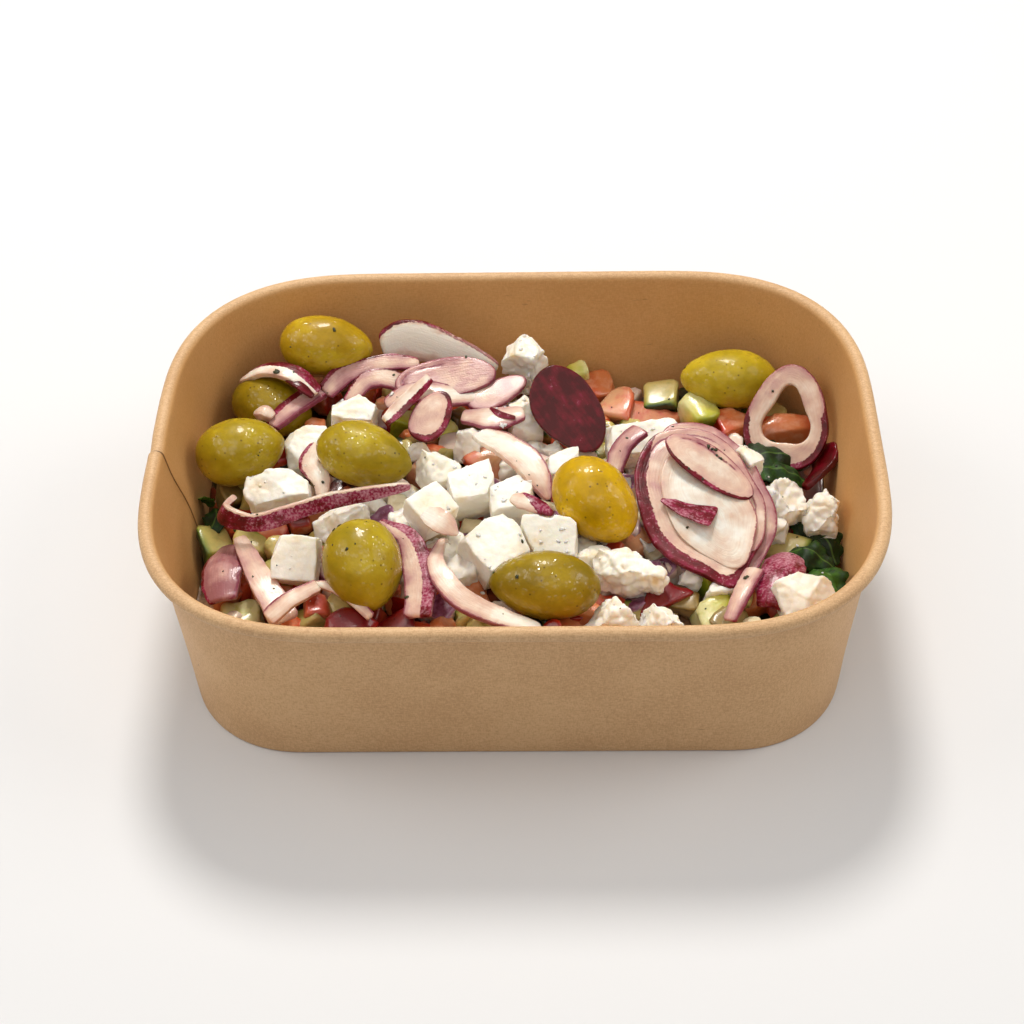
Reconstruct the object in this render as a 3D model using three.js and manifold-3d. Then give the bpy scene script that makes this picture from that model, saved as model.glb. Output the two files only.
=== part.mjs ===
// A greek salad in a rectangular kraft-paper bowl.
// Millimetres, +Z up. The origin is the middle of the bowl's underside, +X runs along
// the bowl's length and -Y is its front.
import * as THREE from 'three';
import { mergeVertices } from 'three/addons/utils/BufferGeometryUtils.js';
import Module from 'manifold-3d';

const manifold = await Module();
manifold.setup();

// ---------------------------------------------------------------- driving dimensions

const BOWL = {
  wall: 0.6,             // board thickness
  floor: 0.8,            // thickness of the base
  footRound: 0.8,        // rounding of the edge that the bowl stands on
  floorRound: 1,         // rounding where the floor meets the wall inside
  baseRow: 8,            // an extra row of points in the base, this far from its edge
  wallRows: [16, 32],    // heights at which the wall has a row of points
  foot: { halfLength: 77.5, halfWidth: 54.5, corner: 27, power: 2.07 },
  mouth: { halfLength: 83.1, halfWidth: 60.1, corner: 46, power: 2.53 },
  mouthHeight: 47.1,     // where the flared wall ends under the rolled rim
  rimRadius: 1.75,       // radius of the rolled rim's tube
  rimOut: 1.15,          // how far the tube's middle stands outside the wall
  rimSides: 8,
  cornerSteps: 9,
};
const GAP = 0.3;         // clearance between any two pieces of food
const FOOD_GAP = 0.4;    // clearance between the food and the bowl
const ROOM_TOP = 60;     // the room for food reaches up to here, above the rim
const OLIVE_TAPER = 0.1; // how much slimmer an olive is towards its tip than in its middle
const STRIP_END = 0.35;  // width of a strip's ends, as a share of its full width
const LUMP_PULL = [1, 1, 0.97, 0.9]; // how far a lump's inner, face, edge and corner points reach
const ON_FACE = 0.49;    // a point of the unit box beyond this lies on one of its faces
const SEEDS = { fillerPlaces: 7, feta: 100, chunks: 300, fillers: 500 };

// How finely each kind of piece is divided: as a piece, and as the coarser, slightly
// larger shape that makes room for it in the heap.
const FINE = { oliveSides: 12, oliveRows: 9, sliceSteps: 11, stripSteps: 10, swell: 0 };
const COARSE = { oliveSides: 9, oliveRows: 6, sliceSteps: 5, stripSteps: 6, swell: 1 };

const COLOUR = {
  kraft: 0xb98a58, olive: 0x9a8a1e, feta: 0xf4efe2, onion: 0xe2c8c4,
  redOnion: 0x5a1226, vegetables: 0x8a5a34,
};

// Each olive: middle, length, girth and the direction in which its tip points.
const OLIVES = [
  { name: 'olive_back_left', at: [-49, 47, 39], length: 24.4, girth: 16, tip: [1, -0.05, -0.08] },
  { name: 'olive_under_onion', at: [-63, 36, 28], length: 22, girth: 16, tip: [0.9, -0.3, -0.1] },
  { name: 'olive_left', at: [-68, 13, 34], length: 22.6, girth: 17.3, tip: [0.97, 0.22, 0.12] },
  { name: 'olive_mid_left', at: [-37, 9, 36], length: 24.5, girth: 16.5, tip: [0.95, -0.22, -0.15] },
  { name: 'olive_front_left', at: [-35, -27.5, 35], length: 22.5, girth: 19.2, tip: [0.25, -0.9, -0.35] },
  { name: 'olive_front', at: [7, -34, 35], length: 26, girth: 16.4, tip: [-1, 0.08, 0.02] },
  { name: 'olive_yellow', at: [19, -8.5, 37], length: 24, girth: 18.4, tip: [0.67, -0.67, -0.33] },
  { name: 'olive_back_right', at: [54.5, 43.5, 29.5], length: 25.6, girth: 16, tip: [-1, 0.05, 0.02] },
];

// Flat slices: middle, half sizes, thickness, the way the slice faces, the turn of its
// long side within its own plane, and the share of it that is a hole.
const SLICES = [
  {
    name: 'onion_top_oval', at: [46.3, 1.8, 38.5], radii: [13.5, 6.5], thick: 2,
    facing: [0.1, -0.25, 1], turn: -38,
  },
  {
    name: 'onion_red_petal', at: [13, 28, 33], radii: [13, 8.6], thick: 2.4,
    facing: [0.1, -0.6, 0.8], turn: -52,
  },
  {
    name: 'onion_small_oval', at: [-21, 22, 37], radii: [7.8, 5.2], thick: 2,
    facing: [0, -0.35, 1], turn: 62,
  },
  {
    name: 'onion_big_slice', at: [43.5, -6, 33], radii: [24, 16], thick: 3,
    facing: [0.04, -0.22, 1], turn: 104,
  },
  {
    name: 'onion_ring', at: [68, 28, 30], radii: [14.3, 11.2], thick: 2.6,
    facing: [-0.3, -0.62, 0.7], turn: 75, hole: 0.55,
  },
  {
    name: 'onion_half_moon', at: [-18, 37.8, 35.5], radii: [14, 6.6], thick: 2.4,
    facing: [0, -0.3, 1], turn: 8,
  },
  {
    name: 'onion_pale_oval', at: [-5, 34.3, 33.5], radii: [9.2, 4.4], thick: 2,
    facing: [0, -0.2, 1], turn: 32,
  },
];

// Onion strips and petals: the line that each follows, its width, thickness, the lean of
// its flat side (0 lies flat, 90 stands on edge) and how far its middle bulges.
const STRIPS = [
  {
    name: 'onion_long_strip', width: 4.4, thick: 1.8, lean: 62, bulge: 0.3,
    path: [[-67, -5, 36], [-69, -11, 36.5], [-63, -14, 36], [-44, -7, 36], [-25, -2, 36]],
  },
  {
    name: 'onion_stick', width: 3.4, thick: 2, lean: 35, bulge: 0,
    path: [[-32, 17, 39.5], [-27, 25, 39.5], [-22, 35, 38]],
  },
  {
    name: 'onion_wedge_on_olive', width: 4.2, thick: 1.8, lean: 0, bulge: 0.4,
    path: [[-71, 40, 33], [-65, 39, 37.5], [-57, 37, 38.5], [-50, 33, 35.5]],
  },
  {
    name: 'onion_pink_petal', width: 4.6, thick: 1, lean: 15, bulge: 0.4,
    path: [[-21, -17, 42], [-17, -20.5, 42.5], [-13, -23, 40.5]],
  },
  {
    name: 'onion_purple_petal', width: 3.6, thick: 1, lean: 10, bulge: 0.5,
    path: [[-1, -10.5, 40], [4, -13, 40.5], [9, -15.5, 39.5]],
  },
  {
    name: 'onion_purple_crescent', width: 7, thick: 2, lean: 12, bulge: 0.5,
    path: [[-32, -12, 34], [-25, -20, 35], [-22, -33, 34.5], [-24, -41, 32.5]],
  },
  {
    name: 'onion_white_crescent', width: 4.6, thick: 2.4, lean: 8, bulge: 0.5,
    path: [[-17, -19, 35], [-18, -30, 37], [-13, -38, 36], [-4, -42, 33.5], [6, -45, 32]],
  },
  {
    name: 'onion_white_petal', width: 10, thick: 1.8, lean: -15, bulge: 2,
    path: [[-9.5, 17, 36], [-3, 10.5, 38], [4, 3, 37.5], [8, -5, 34]],
  },
  {
    name: 'onion_diagonal', width: 5.4, thick: 1.8, lean: 0, bulge: 0.3,
    path: [[-50, 37, 33], [-56, 31, 33], [-62, 25, 31.5]],
  },
  {
    name: 'onion_back_outer', width: 5, thick: 1.8, lean: 20, bulge: 0.3,
    path: [[-49, 35, 33.5], [-44, 39, 36], [-35, 42, 37], [-25, 43, 36]],
  },
  {
    name: 'onion_back_inner', width: 4.6, thick: 1.6, lean: 20, bulge: 0.3,
    path: [[-43, 31, 33], [-38, 37, 35.5], [-31, 38, 36.5], [-26, 37, 35]],
  },
  {
    name: 'onion_leaning', width: 10, thick: 2, lean: 62, bulge: 0.8,
    path: [[-35, 48, 37], [-27, 50, 38.5], [-17, 48, 36.5], [-5, 44.5, 33]],
  },
  {
    name: 'onion_thick_strip', width: 6.4, thick: 2.6, lean: 0, bulge: 0.5,
    path: [[-66, -13, 30], [-59, -28, 31], [-52, -40, 30]],
  },
  {
    name: 'onion_left_petal', width: 9, thick: 1.3, lean: 12, bulge: 1.4,
    path: [[-68, -13, 27], [-69, -23, 28.5], [-68, -32, 28]],
  },
  {
    name: 'onion_arch', width: 3.6, thick: 2, lean: 20, bulge: 0.2,
    path: [[-56, -42, 33], [-51, -38, 35], [-45, -33, 34.5]],
  },
  {
    name: 'onion_lilac_arc', width: 5.4, thick: 1.4, lean: -10, bulge: 0.8,
    path: [[24, 8, 30], [26, 14, 33], [31, 19, 34.5]],
  },
  {
    name: 'onion_dark_petal', width: 9, thick: 1.6, lean: 50, bulge: 1,
    path: [[78, 23, 25], [76.5, 17, 23], [71, 12, 20]],
  },
  {
    name: 'onion_dark_chunk', width: 9, thick: 1.8, lean: 8, bulge: 2.2,
    path: [[65, -17, 25], [61, -26, 27], [58, -35, 27]],
  },
];

// Pieces of feta: middle, size, turn about the vertical, tilt towards the front and how
// far the broken faces wander.
const FETA = [
  { at: [-41, 30, 31], size: [12, 10, 10], turn: -6, tilt: 12, rough: 0.5 },
  { at: [-52, 19, 28], size: [12, 10, 10], turn: 12, tilt: 10, rough: 0.6 },
  { at: [-57, 1, 30.5], size: [18, 9, 10], turn: 6, tilt: 10, rough: 0.7 },
  { at: [-51, -23, 32.5], size: [11, 11.5, 10], turn: -4, tilt: 36, rough: 0.3 },
  { at: [-42, -7, 29], size: [15, 8, 8], turn: 14, tilt: 0, rough: 1 },
  { at: [-19, 7, 33], size: [11, 10, 9], turn: 20, tilt: 15, rough: 0.9 },
  { at: [-11, 0, 33], size: [12, 12, 12], turn: 14, tilt: 15, rough: 0.5 },
  { at: [-20, -11, 36.5], size: [10, 10, 9], turn: 42, tilt: 18, rough: 0.3 },
  { at: [-1, -5, 33.5], size: [11, 10, 10], turn: 6, tilt: 12, rough: 0.6 },
  { at: [-5, -21, 33], size: [13, 13, 14], turn: 38, tilt: 20, rough: 0.6 },
  { at: [8, -18, 34], size: [14, 10, 10], turn: -4, tilt: 30, rough: 0.6 },
  { at: [27, -24, 31], size: [18, 12, 10], turn: -8, tilt: 10, rough: 1.3 },
  { at: [21, -40, 31.5], size: [17, 9, 8], turn: 4, tilt: 5, rough: 0.9 },
  { at: [33.5, -40, 31], size: [11, 8, 8], turn: -12, tilt: 5, rough: 1.1 },
  { at: [1, 46, 30.5], size: [11, 8, 11], turn: -28, tilt: 10, rough: 1.3 },
  { at: [2, 30, 28], size: [9, 10, 11], turn: 10, tilt: 10, rough: 0.6 },
  { at: [11, 10, 30], size: [10, 9, 8], turn: 5, tilt: 10, rough: 0.7 },
  { at: [31.5, 23, 27], size: [20, 11, 9.5], turn: 6, tilt: 14, rough: 1 },
  { at: [54, 9.5, 31.5], size: [10.5, 9.5, 10], turn: 32, tilt: 12, rough: 0.5 },
  { at: [65, 0, 29], size: [9, 12, 12], turn: 10, tilt: 12, rough: 1.2 },
  { at: [73.5, -3.5, 28.5], size: [9, 12, 12], turn: -4, tilt: 12, rough: 1.2 },
  { at: [61, -5, 24], size: [10, 10, 9], turn: -10, tilt: 10, rough: 0.7 },
  { at: [67, -33, 29], size: [14, 11, 9], turn: 24, tilt: 12, rough: 0.5 },
];

// The chopped vegetables that show between the toppings: middle, size and turn. They all
// tilt and wander alike.
const CHUNK_CUT = { tilt: 8, rough: 0.9 };
const CHUNKS = [
  { at: [21, 51, 19], size: [9, 7, 9], turn: 20 },      // orange tomato at the back
  { at: [26, 43, 21], size: [9, 10, 9], turn: -25 },    // pink tomato
  { at: [34, 39, 19], size: [14, 7, 6], turn: 5 },      // long pink tomato
  { at: [54, 34, 21], size: [8, 8, 9], turn: 30 },      // tomato under the back olive
  { at: [69, 34, 20], size: [14, 8, 7], turn: 10 },     // tomato inside the ring
  { at: [37, 46, 19], size: [9, 7, 6], turn: 0 },       // cucumber with its skin
  { at: [47, 39, 20], size: [8, 7, 8], turn: 15 },      // pale cucumber lump
  { at: [65, -10, 19], size: [12, 10, 9], turn: -20 },  // cucumber wedge at the right
  { at: [-74, -4, 17], size: [8, 7, 9], turn: 30 },     // cucumber at the left wall
  { at: [-64, -6, 19], size: [8, 7, 9], turn: -20 },
  { at: [-64, -31, 20], size: [9, 9, 9], turn: 12 },    // pale cucumber cube at the front left
  { at: [15, 52, 23], size: [6, 5, 8], turn: 10 },
  { at: [46, -33, 22], size: [9, 7, 7], turn: 25 },     // yellow-green cucumber at the front
  { at: [39, -28, 22], size: [9, 6, 6], turn: -15 },
  { at: [34, -29, 24], size: [12, 5, 5], turn: 30 },    // red pepper strip
  { at: [-8, 15, 27], size: [10, 8, 7], turn: 15 },     // tomato between the feta
  { at: [-37, -40, 26], size: [10, 8, 8], turn: -30 },  // red pepper at the front
  { at: [-27, -40, 25], size: [8, 7, 8], turn: 20 },
  { at: [-11, -27, 24], size: [8, 7, 7], turn: 0 },
  { at: [50, -36, 22], size: [9, 8, 7], turn: 40 },
  { at: [55, -38, 24], size: [4, 4, 4], turn: 30 },     // small beige dice
  { at: [-12, 20, 30], size: [8, 9, 9], turn: -10 },    // small feta lumps, low in the heap
  { at: [18, -21, 29], size: [8, 8, 9], turn: 20 },
  { at: [-27, -11, 28], size: [9, 8, 10], turn: 8 },
  { at: [-13, -23, 28], size: [8, 9, 11], turn: 20 },
  { at: [48, -25, 25], size: [11, 8, 7], turn: 10 },
];

// Herb leaves, shreds and thin onion strips: the line that each follows and its width.
const LEAF_CUT = { thick: 0.9, bulge: 1.2 };
const LEAVES = [
  { path: [[-46, -34, 32], [-39, -38, 31], [-31, -42, 29]], width: 3.2 },
  { path: [[58, -28, 28], [54, -34, 28.5], [49, -40, 28]], width: 6 },
  { path: [[55, 17, 18], [64, 19, 20], [72, 20, 18]], width: 11 },
  { path: [[69, -2, 16], [73, -8, 18], [76, -15, 16]], width: 6 },
  { path: [[72, -18, 19], [74, -23, 21], [76, -26, 20]], width: 5 },
  { path: [[-77, 12, 13], [-77, 9, 18], [-76, 6, 21]], width: 3 },
];

// The heap of chopped salad: its usual level, and the hills and hollows that shape it.
const HEAP = {
  level: 19.5,
  edgeDrop: 3,           // how far the core's edge sinks along the wall
  edgeSharpness: 6,      // a higher number keeps that drop closer to the wall
  sideGap: 0.6,
  lowRow: 8,             // height of a row of points low on the core's side
  rings: 4,
};

// The filler dice: rows set off like bricks, each dice a little away from its place.
const FILLERS = {
  rows: 5,               // rows to each side of the middle
  columns: 7,
  spacing: 12.5,
  rowShare: 0.87,        // distance between rows, as a share of the spacing
  wander: 4,
  size: [6, 9],
  tilt: 50,
  rough: 1.2,
  lift: 1.5,             // how far the middle of a filler stands above the core
  reach: [74, 52],       // no filler lies further out than this
  apart: 7,              // distance kept from the chosen chunks
  thickTopping: 11,      // toppings less tall than this leave room for fillers under them
};
const HILLS = [
  { at: [-10, -12], rise: 5, spread: 34 },
  { at: [-50, 25], rise: 4, spread: 22 },
  { at: [-78, -5], rise: -7, spread: 16 },
  { at: [40, 48], rise: -5, spread: 24 },
  { at: [74, 12], rise: -5, spread: 18 },
  { at: [76, -16], rise: -5, spread: 14 },
  { at: [10, -52], rise: 5, spread: 24 },
];

// ---------------------------------------------------------------- general helpers

// A repeatable stream of numbers from 0 to 1.
function randomFrom(seed) {
  let state = (seed * 2654435761) >>> 0;
  return () => {
    state = (state + 0x6d2b79f5) >>> 0;
    let value = Math.imul(state ^ (state >>> 15), 1 | state);
    value = (value + Math.imul(value ^ (value >>> 7), 61 | value)) ^ value;
    return ((value ^ (value >>> 14)) >>> 0) / 4294967296;
  };
}

const radians = THREE.MathUtils.degToRad;

// A closed solid from a closed three.js geometry.
function solidFrom(geometry) {
  const bare = geometry.clone();
  bare.deleteAttribute('normal');
  bare.deleteAttribute('uv');
  const merged = mergeVertices(bare, 1e-4);
  const triangles = [];
  const index = merged.index.array;
  for (let i = 0; i < index.length; i += 3) {
    const [a, b, c] = [index[i], index[i + 1], index[i + 2]];
    if (a !== b && b !== c && c !== a) triangles.push(a, b, c);
  }
  return new manifold.Manifold(new manifold.Mesh({
    numProp: 3,
    vertProperties: Float32Array.from(merged.attributes.position.array),
    triVerts: Uint32Array.from(triangles),
  }));
}

// A closed skin over a row of rings that all have the same number of points. A fan
// closes each end.
function skin(rings) {
  const count = rings[0].length;
  const points = rings.flat();
  const triangles = [];
  for (let row = 0; row < rings.length - 1; row++) {
    for (let i = 0; i < count; i++) {
      const j = (i + 1) % count;
      const [a, b] = [row * count + i, row * count + j];
      const [c, d] = [b + count, a + count];
      triangles.push(a, b, c, a, c, d);
    }
  }
  for (const [row, flip] of [[0, true], [rings.length - 1, false]]) {
    const middle = points.length;
    const centre = new THREE.Vector3();
    for (const point of rings[row]) centre.addScaledVector(point, 1 / count);
    points.push(centre);
    for (let i = 0; i < count; i++) {
      const [a, b] = [row * count + i, row * count + ((i + 1) % count)];
      triangles.push(...(flip ? [middle, b, a] : [middle, a, b]));
    }
  }
  if (signedVolume(points, triangles) < 0) triangles.reverse();
  const geometry = new THREE.BufferGeometry().setFromPoints(points);
  geometry.setIndex(triangles);
  return geometry;
}

function signedVolume(points, triangles) {
  let total = 0;
  const cross = new THREE.Vector3();
  for (let i = 0; i < triangles.length; i += 3) {
    cross.crossVectors(points[triangles[i + 1]], points[triangles[i + 2]]);
    total += points[triangles[i]].dot(cross);
  }
  return total;
}

// The largest body of a solid that cutting may have parted.
function largestBody(solid) {
  const bodies = solid.decompose();
  return bodies.reduce((best, body) => (body.volume() > best.volume() ? body : best));
}

// ---------------------------------------------------------------- bowl

// One point of the bowl's outline at height z, moved outwards by offset. The outline is
// a rectangle whose corners are superellipses; quarter says which corner.
function outlinePoint(quarter, step, z, offset) {
  const share = THREE.MathUtils.clamp(z / BOWL.mouthHeight, 0, 1);
  const mix = (key) => THREE.MathUtils.lerp(BOWL.foot[key], BOWL.mouth[key], share);
  const corner = mix('corner') + offset;
  const stepsAlong = quarter % 2 === 0 ? step : BOWL.cornerSteps - step;
  const angle = (stepsAlong / BOWL.cornerSteps) * (Math.PI / 2);
  const bend = (value) => Math.max(value, 0) ** (2 / mix('power'));
  const x = mix('halfLength') + offset - corner + corner * bend(Math.cos(angle));
  const y = mix('halfWidth') + offset - corner + corner * bend(Math.sin(angle));
  const [signX, signY] = [[1, 1], [-1, 1], [-1, -1], [1, -1]][quarter];
  return new THREE.Vector3(signX * x, signY * y, z);
}

function outline(z, offset) {
  const points = [];
  for (let quarter = 0; quarter < 4; quarter++) {
    for (let step = 0; step <= BOWL.cornerSteps; step++) {
      points.push(outlinePoint(quarter, step, z, offset));
    }
  }
  return points;
}

// Height and outward offset of each row of the bowl's skin, from the middle of the
// underside, up the outside, round the rolled rim and down the inside.
function bowlProfile() {
  const rimMiddle = BOWL.mouthHeight + BOWL.rimRadius;
  const midBend = (1 - Math.SQRT1_2) * BOWL.footRound;
  const rows = [[0, -BOWL.baseRow], [0, -BOWL.footRound], [midBend, -midBend]];
  rows.push([BOWL.footRound, 0], ...BOWL.wallRows.map((z) => [z, 0]));
  const under = -Math.acos(-BOWL.rimOut / BOWL.rimRadius);
  for (let side = 0; side <= BOWL.rimSides; side++) {
    const angle = under + ((Math.PI - under) * side) / BOWL.rimSides;
    const [rise, reach] = [Math.sin(angle), Math.cos(angle)].map((part) => part * BOWL.rimRadius);
    rows.push([rimMiddle + rise, BOWL.rimOut + reach]);
  }
  for (const z of [...BOWL.wallRows].reverse()) rows.push([z, -BOWL.wall]);
  rows.push([BOWL.floor + BOWL.floorRound, -BOWL.wall], [BOWL.floor, -BOWL.wall - BOWL.floorRound]);
  rows.push([BOWL.floor, -BOWL.baseRow]);
  return rows;
}

function bowlSolid() {
  return solidFrom(skin(bowlProfile().map(([z, offset]) => outline(z, offset))));
}

// The room inside the bowl, clear of its walls and floor, that holds the food.
function roomInside() {
  const offset = -BOWL.wall - FOOD_GAP;
  const bottom = outline(BOWL.floor + FOOD_GAP, offset - BOWL.floorRound);
  const sides = [...BOWL.wallRows, BOWL.mouthHeight, ROOM_TOP].map((z) => outline(z, offset));
  return solidFrom(skin([bottom, ...sides]));
}

// ---------------------------------------------------------------- toppings

function oliveSolid({ at, length, girth, tip }, grow, detail = FINE) {
  const half = length / 2 + grow + detail.swell;
  const radius = girth / 2 + grow + detail.swell;
  const profile = [];
  for (let row = 0; row <= detail.oliveRows; row++) {
    const angle = (row / detail.oliveRows) * Math.PI;
    const along = -Math.cos(angle);
    profile.push(new THREE.Vector2(radius * Math.sin(angle) * (1 - OLIVE_TAPER * along), half * along));
  }
  profile[0].x = 0;
  profile[detail.oliveRows].x = 0;
  const geometry = new THREE.LatheGeometry(profile, detail.oliveSides);
  const direction = new THREE.Vector3(...tip).normalize();
  geometry.applyQuaternion(new THREE.Quaternion().setFromUnitVectors(new THREE.Vector3(0, 1, 0), direction));
  geometry.translate(...at);
  return solidFrom(geometry);
}

function sliceSolid({ at, radii, thick, facing, turn, hole }, clearance, detail = FINE) {
  const grow = clearance + detail.swell;
  const shape = new THREE.Shape();
  shape.absellipse(0, 0, radii[0] + grow, radii[1] + grow, 0, Math.PI * 2);
  if (hole) {
    const opening = new THREE.Path();
    opening.absellipse(0, 0, radii[0] * hole - grow, radii[1] * hole - grow, 0, Math.PI * 2);
    shape.holes.push(opening);
  }
  const depth = thick + 2 * grow;
  const settings = { depth, bevelEnabled: false, curveSegments: detail.sliceSteps };
  const geometry = new THREE.ExtrudeGeometry(shape, settings);
  geometry.translate(0, 0, -depth / 2);
  geometry.rotateZ(radians(turn));
  const normal = new THREE.Vector3(...facing).normalize();
  geometry.applyQuaternion(new THREE.Quaternion().setFromUnitVectors(new THREE.Vector3(0, 0, 1), normal));
  geometry.translate(...at);
  return solidFrom(geometry);
}

// A band along a smooth line. Its cross-section has six corners: two edges and a middle
// that bulges, above and below.
function stripSolid({ path, width, thick, lean = 0, bulge = 0 }, clearance, detail = FINE) {
  const grow = clearance + detail.swell;
  const curve = new THREE.CatmullRomCurve3(path.map((point) => new THREE.Vector3(...point)));
  const rings = [];
  for (let step = 0; step <= detail.stripSteps; step++) {
    const share = step / detail.stripSteps;
    const middle = curve.getPoint(share);
    const along = curve.getTangent(share);
    if (step === 0) middle.addScaledVector(along, -grow);
    if (step === detail.stripSteps) middle.addScaledVector(along, grow);
    const across = new THREE.Vector3(0, 0, 1).cross(along).normalize();
    across.applyAxisAngle(along, radians(lean));
    const normal = along.clone().cross(across);
    const fullness = THREE.MathUtils.lerp(STRIP_END, 1, Math.sqrt(Math.sin(Math.PI * share)));
    const reach = (width / 2) * fullness + grow;
    const half = thick / 2 + grow;
    const corner = (side, up) => middle.clone()
      .addScaledVector(across, side * reach)
      .addScaledVector(normal, up * half + (side === 0 ? bulge * fullness : 0));
    rings.push([corner(-1, 1), corner(0, 1), corner(1, 1), corner(1, -1), corner(0, -1), corner(-1, -1)]);
  }
  return solidFrom(skin(rings));
}

// A broken lump: a box with its corners and edges knocked in and its faces uneven.
function lumpSolid({ at, size, turn = 0, tilt = 0, rough = 0.5 }, grow, seed, segments = 2) {
  const random = randomFrom(seed);
  const box = mergeVertices(bareBox(segments));
  const position = box.attributes.position;
  const point = new THREE.Vector3();
  for (let i = 0; i < position.count; i++) {
    point.fromBufferAttribute(position, i);
    const outside = [point.x, point.y, point.z].filter((value) => Math.abs(value) > ON_FACE).length;
    const pull = LUMP_PULL[outside];
    point.set(
      point.x * pull * (size[0] + 2 * grow) + (random() - 0.5) * rough,
      point.y * pull * (size[1] + 2 * grow) + (random() - 0.5) * rough,
      point.z * pull * (size[2] + 2 * grow) + (random() - 0.5) * rough,
    );
    position.setXYZ(i, point.x, point.y, point.z);
  }
  box.rotateX(radians(tilt));
  box.rotateZ(radians(turn));
  box.translate(...at);
  return solidFrom(box);
}

function bareBox(segments) {
  const box = new THREE.BoxGeometry(1, 1, 1, segments, segments, segments);
  box.deleteAttribute('normal');
  box.deleteAttribute('uv');
  return box;
}

// ---------------------------------------------------------------- heap of chopped salad

function heapHeight(x, y) {
  let height = HEAP.level;
  for (const { at, rise, spread } of HILLS) {
    const distance = Math.hypot(x - at[0], y - at[1]) / spread;
    height += rise * Math.exp(-distance * distance);
  }
  return height;
}

function heapCore() {
  const offset = -BOWL.wall - HEAP.sideGap;
  const ringAt = (share) => outline(HEAP.level, offset).map((edge) => {
    const [x, y] = [edge.x * share, edge.y * share];
    return new THREE.Vector3(x, y, heapHeight(x, y) - HEAP.edgeDrop * share ** HEAP.edgeSharpness);
  });
  const bottom = BOWL.floor + HEAP.sideGap;
  const rings = [outline(bottom, offset - BOWL.floorRound), outline(HEAP.lowRow, offset)];
  for (let ring = HEAP.rings; ring > 0; ring--) rings.push(ringAt(ring / HEAP.rings));
  return solidFrom(skin(rings));
}

// Whether a thick topping lies over the place x, y.
function isCovered(x, y, toppings) {
  return toppings.some((solid) => {
    const { min, max } = solid.boundingBox();
    const isThick = max[2] - min[2] > FILLERS.thickTopping;
    return isThick && x > min[0] && x < max[0] && y > min[1] && y < max[1];
  });
}

// Seeded filler dice for the core, wherever no topping and no chosen piece lies.
function fillerChunks(toppings) {
  const random = randomFrom(SEEDS.fillerPlaces);
  const around = (span) => (random() - 0.5) * span;
  const { rows, columns, spacing, rowShare, wander, size, tilt, rough, lift, reach } = FILLERS;
  const fillers = [];
  for (let row = -rows; row <= rows; row++) {
    for (let column = -columns; column <= columns; column++) {
      const x = (column + (row % 2) / 2) * spacing + around(wander);
      const y = row * spacing * rowShare + around(wander);
      const filler = {
        at: [x, y, heapHeight(x, y) + lift],
        size: [0, 1, 2].map(() => THREE.MathUtils.lerp(...size, random())),
        turn: random() * 90,
        tilt: around(tilt),
        rough,
      };
      const crowded = CHUNKS.some(({ at }) => Math.hypot(at[0] - x, at[1] - y) < FILLERS.apart);
      const outside = Math.abs(x) > reach[0] || Math.abs(y) > reach[1];
      if (!outside && !crowded && !isCovered(x, y, toppings)) fillers.push(filler);
    }
  }
  return fillers;
}

// The core with the chopped pieces fused on, clear of the toppings.
function heapSolid(room, toppings) {
  const chosen = CHUNKS.map((chunk, i) => lumpSolid({ ...CHUNK_CUT, ...chunk }, 0, SEEDS.chunks + i, 1));
  const fillers = fillerChunks(toppings).map((chunk, i) => lumpSolid(chunk, 0, SEEDS.fillers + i, 1));
  const leaves = LEAVES.map((leaf) => stripSolid({ ...LEAF_CUT, ...leaf }, 0, COARSE));
  const whole = manifold.Manifold.union([heapCore(), ...chosen, ...fillers, ...leaves]);
  return largestBody(whole.intersect(room).subtract(manifold.Manifold.union(toppings)));
}

// ---------------------------------------------------------------- assembly

function material(colour, roughness) {
  return new THREE.MeshStandardMaterial({ color: colour, roughness, metalness: 0 });
}

const MATERIALS = {
  kraft: material(COLOUR.kraft, 0.75),
  olive: material(COLOUR.olive, 0.25),
  feta: material(COLOUR.feta, 0.6),
  onion: material(COLOUR.onion, 0.3),
  redOnion: material(COLOUR.redOnion, 0.3),
  vegetables: material(COLOUR.vegetables, 0.35),
};

// A named mesh whose geometry is kept about its own middle.
function meshOf(name, solid, look, at = [0, 0, 0]) {
  const { vertProperties, triVerts } = solid.getMesh();
  const geometry = new THREE.BufferGeometry();
  geometry.setAttribute('position', new THREE.BufferAttribute(Float32Array.from(vertProperties), 3));
  geometry.setIndex(new THREE.BufferAttribute(Uint32Array.from(triVerts), 1));
  geometry.translate(-at[0], -at[1], -at[2]);
  geometry.computeVertexNormals();
  const mesh = new THREE.Mesh(geometry, look);
  mesh.name = name;
  mesh.position.set(...at);
  return mesh;
}

const middleOf = (spec) => spec.at ?? spec.path[Math.floor(spec.path.length / 2)];
const isRed = (name) => name === 'onion_red_petal' || name.startsWith('onion_dark');

// Everything that lies on the heap, in the order in which it gives way: an olive keeps
// its whole shape, and each later piece is cut where an earlier one presses into it.
const TOPPINGS = [
  ...OLIVES.map((spec) => ({
    spec,
    look: MATERIALS.olive,
    make: (grow, detail) => oliveSolid(spec, grow, detail),
  })),
  ...[...SLICES, ...STRIPS].map((spec) => ({
    spec,
    look: isRed(spec.name) ? MATERIALS.redOnion : MATERIALS.onion,
    make: (grow, detail) => (spec.radii ? sliceSolid : stripSolid)(spec, grow, detail),
  })),
  ...FETA.map((piece, i) => {
    const spec = { ...piece, name: `feta_${String(i + 1).padStart(2, '0')}` };
    return { spec, look: MATERIALS.feta, make: (grow) => lumpSolid(spec, grow, SEEDS.feta + i) };
  }),
];

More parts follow.
